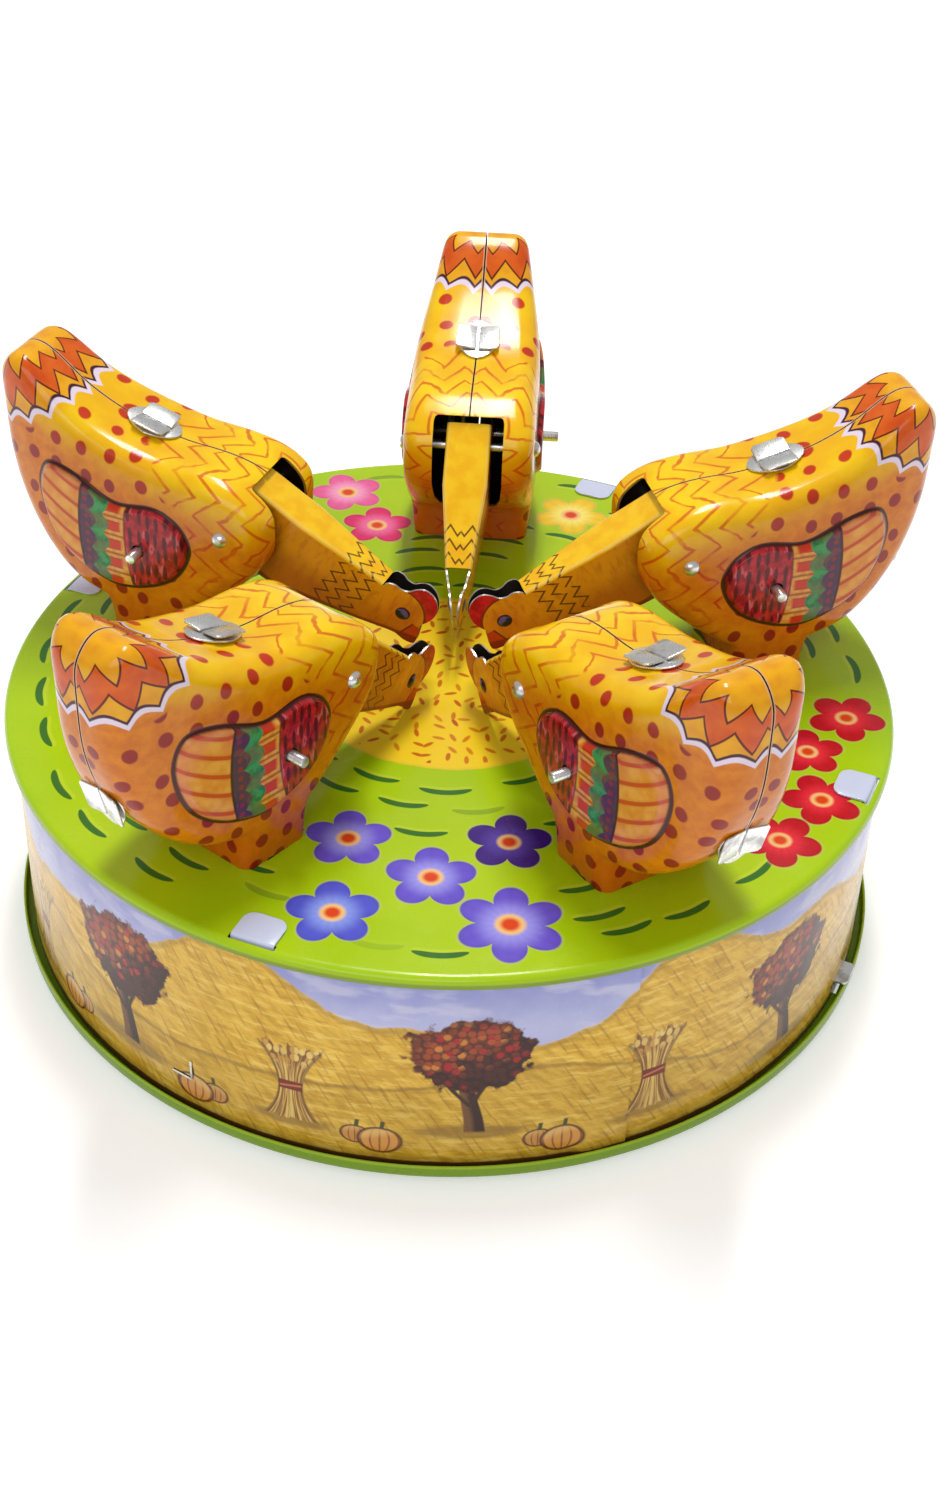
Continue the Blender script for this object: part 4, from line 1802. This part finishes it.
def make_key(paint):
    """A rolled barrel with two flat ears, each with a round eye and a narrow waist."""
    top = KEY_TOP
    profile = [(0.0, top + 0.5), (2.2, top + 0.5), (2.7, top + 0.32), (2.95, top), (3.0, 7.9), (2.86, 7.75)]
    profile += [(2.86, 7.45), (3.0, 7.3), (3.0, 1.5), (2.86, 1.35), (2.86, 1.05), (3.0, 0.9), (2.95, 0.1)]
    profile += [(2.8, 0.0), (2.1, 0.0), (KEY_BORE, 0.2), (KEY_BORE, 8.7), (0.0, 8.75)]
    barrel = turned("winding_key", profile, 48)
    ears = []
    for side in (-1, 1):
        centre = (side * EAR[0], EAR[1])
        ways = (polar(EAR_RADIUS, i * 360 / 56) for i in range(56))
        rim = [(centre[0] + x, centre[1] + y) for x, y in ways]
        ear = prism("ear", rim, -EAR_HALF_TIN, EAR_HALF_TIN, ACROSS)
        ear = boolean(ear, peg((centre[0], 0.0, centre[1]), EAR_EYE, CUT_DEPTH, "Y", 0.0, 40))
        ears.append(bevelled(ear, 0.34, 3, 40.0))
    core = peg((0.0, 0.0, 4.35), KEY_BORE + 0.02, 8.7, "Z", 0.0, 48)
    mesh = joined("winding_key", [barrel, boolean(joined("ears", ears), core)])
    mesh.transform(key_stand(KEY_OUT) @ Matrix.Rotation(math.radians(KEY_TURN), 4, "Z"))
    piece("winding_key", painted(mesh, paint), "winder", ["winding_key"], 40.0)


def make_lever(paint):
    """A flat strip on its post, with a blunt tab outside the band and an end that stands up by the fan."""
    neck, wide = LEVER_NECK, LEVER_HALF_WIDTH
    corner = LEVER_END - LEVER_CORNER
    rows = [(LEVER_INNER, -neck), (LEVER_PIVOT - 6.5, -neck), (LEVER_PIVOT, -wide)]
    rows += arc((corner, LEVER_CORNER - wide), LEVER_CORNER, -90.0, 0.0, 6)
    rows += arc((corner, wide - LEVER_CORNER), LEVER_CORNER, 0.0, 90.0, 6)
    rows += [(LEVER_PIVOT, wide), (LEVER_PIVOT - 6.5, neck), (LEVER_INNER, neck)]
    flat = prism("starting_lever", rows, LEVER_LEVEL + 0.02, LEVER_LEVEL + LEVER_TIN - 0.02)
    flat = boolean(flat, peg((LEVER_PIVOT, 0.0, LEVER_LEVEL), LEVER_HOLE, 4.0, "Z", 0.0, 40))
    side_on = Matrix(((1, 0, 0, 0), (0, 0, 1, 0), (0, 1, 0, 0), (0, 0, 0, 1)))
    bend = [(11.5, 5.3), (12.4, 5.18), (12.4, 4.52), (11.65, 4.52)]
    bend += [(11.1, 4.8), (10.9, 5.3), (10.9, 12.1), (11.3, 12.1)]
    end = prism("end", bend, -neck, neck, side_on)
    mesh = joined("starting_lever", [bevelled(flat, 0.16, 2, 50.0), bevelled(end, 0.12, 2, 50.0)])
    mesh.transform(Matrix.Rotation(math.radians(LEVER_ANGLE), 4, "Z"))
    mesh = painted(mesh, paint)
    piece("starting_lever", mesh, "starting_lever", ["starting_lever"], 40.0)


def make_lever_post(paint):
    profile = [(0.0, 6.0), (1.6, 5.98), (2.3, 5.86), (2.58, 5.7), (2.6, 5.52), (1.6, 5.5), (1.6, 4.2)]
    profile += [(2.45, 4.2), (2.6, 4.05), (2.6, 0.95), (2.45, 0.8), (0.0, 0.8)]
    place = Matrix.Translation((*polar(LEVER_PIVOT, LEVER_ANGLE), 0.0))
    mesh = painted(turned("lever_post", profile, 40, place), paint)
    piece("lever_post", mesh, "toy_base", ["lever_post"], 30.0)


def make_mainspring(paint):
    sizes = {"Inner": SPRING_INNER, "Outer": SPRING_OUTER, "Reach": SPRING_REACH, "Turns": SPRING_TURNS}
    sizes |= {"End": math.radians(SPRING_END), "Width": SPRING_WIDTH, "Thickness": SPRING_TIN}
    mesh = grown(SPRING, path_mesh("mainspring", [(0.0, 0.0, 0.0), (1.0, 0.0, 0.0)]), paint, **sizes)
    upright = Matrix(((1, 0, 0, 0), (0, 0, -1, 0), (0, 1, 0, 0), (0, 0, 0, 1)))
    mesh.transform(Matrix.Translation((KEY_PLACE[0], SPRING_MIDDLE, KEY_PLACE[1])) @ upright)
    piece("mainspring", mesh, "toy_base", ["mainspring"], 30.0)


# Inner pieces that keep their plain shape, and what each is made of
INSIDE = {
    "steel": (
        "cam_bridge", "camshaft", "motor_back_plate", "motor_front_plate", "fly_fan", "ratchet_wheel",
    ),
    "brass": ("camshaft_step", "face_cam", "great_wheel", "second_arbor", "fast_arbor"),
    "bright": ("click", "winding_arbor") + tuple(f"{name}_rocker" for name, *_ in HENS),
}


def paint_inside(paint):
    for finish_name, names in INSIDE.items():
        for name in names:
            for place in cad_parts[name].material_slots:
                place.material = paint[finish_name]


make_lid(PAINT["lid"], PAINT["edge"])
make_band(PAINT["band"], PAINT["edge"], PAINT["tab"], PAINT["bright"])
make_pan(PAINT["pan"])
make_hens(PAINT)
make_bush(PAINT["bright"])
make_key(PAINT["bright"])
make_lever(PAINT["bright"])
make_lever_post(PAINT["bright"])
make_mainspring(PAINT["spring"])
paint_inside(PAINT)


# Stage. The view is fitted to the photograph: distances in lid radii, angles in radians, the focal
# length in pixels
PHOTO_HEIGHT = 1500.0
VIEW_FOCAL = 2190.2
VIEW_AWAY = 5.0968
VIEW_RISE = 0.6432
VIEW_ROLL = 0.0337
VIEW_ASIDE = 0.0495
VIEW_LIFT = 0.3537
VIEW_TURN = math.radians(2.7)


def make_camera():
    """The photograph's view, from in front and above."""
    radius = LID_RADIUS * 0.001
    ahead = Vector((0.0, math.cos(VIEW_RISE), -math.sin(VIEW_RISE)))
    spot = Vector((VIEW_ASIDE, 0.0, VIEW_LIFT)) - ahead * VIEW_AWAY
    right = Vector((1.0, 0.0, 0.0))
    up = right.cross(ahead)
    level = right * math.cos(VIEW_ROLL) + up * math.sin(VIEW_ROLL)
    upright = up * math.cos(VIEW_ROLL) - right * math.sin(VIEW_ROLL)
    place = Matrix((level, upright, -ahead)).transposed().to_4x4()
    place.translation = spot * radius + Vector((0.0, 0.0, 0.001))
    data = bpy.data.cameras.new("camera")
    data.sensor_fit = "VERTICAL"
    data.sensor_height = 36.0
    data.lens = VIEW_FOCAL * data.sensor_height / PHOTO_HEIGHT
    data.clip_start = 0.01
    camera = bpy.data.objects.new("camera", data)
    bpy.context.scene.collection.objects.link(camera)
    camera.matrix_world = Matrix.Rotation(VIEW_TURN, 4, "Z") @ place
    bpy.context.scene.camera = camera


# Lengths in metres, power in watts
FLOOR_HALF = 3.0
FLOOR_DROP = 0.0002
ROOM_LIGHT = 0.42
LAMP_TARGET = (0.0, 0.0, 0.05)
LAMPS = (
    ("overhead", (0.0, 0.6, 1.7), (0.19, 0.9), 18.0),
    ("front", (-0.3, -1.6, 1.2), (1.4, 0.9), 9.0),
)


def lamp(name, place, size, power):
    data = bpy.data.lights.new(name, "AREA")
    data.shape = "RECTANGLE"
    data.size, data.size_y = size
    data.energy = power
    made = bpy.data.objects.new(name, data)
    bpy.context.scene.collection.objects.link(made)
    made.location = place
    made.rotation_euler = (Vector(LAMP_TARGET) - Vector(place)).to_track_quat("-Z", "Y").to_euler()


def floor_paint():
    """A matt white floor. It shows as white to the camera and in gloss, and keeps the toy's shadow."""
    made = bpy.data.materials.new("white_floor")
    made.use_nodes = True
    tree = made.node_tree
    shader = tree.nodes["Principled BSDF"]
    shader.inputs["Base Color"].default_value = (0.9, 0.9, 0.9, 1.0)
    shader.inputs["Roughness"].default_value = 0.9
    path = add_node(tree, "ShaderNodeLightPath")
    seen = Ink(tree, path.outputs["Is Camera Ray"]) + Ink(tree, path.outputs["Is Glossy Ray"])
    seen = lower(seen + Ink(tree, path.outputs["Is Transmission Ray"]), 1.0)
    feed(tree, shader.inputs["Emission Color"], seen * 0.4)
    shader.inputs["Emission Strength"].default_value = 1.0
    return made


def make_stage():
    bm = bmesh.new()
    bmesh.ops.create_grid(bm, x_segments=1, y_segments=1, size=FLOOR_HALF)
    floor = link("floor", to_mesh(bm, "floor"))
    floor.data.materials.append(floor_paint())
    floor.location.z = -FLOOR_DROP
    world = bpy.data.worlds.new("room")
    world.use_nodes = True
    light = world.node_tree.nodes["Background"].inputs
    light["Color"].default_value = (1.0, 1.0, 1.0, 1.0)
    light["Strength"].default_value = ROOM_LIGHT
    bpy.context.scene.world = world
    for name, place, size, power in LAMPS:
        lamp(name, place, size, power)


make_camera()
make_stage()
bpy.context.scene.view_settings.view_transform = "Standard"
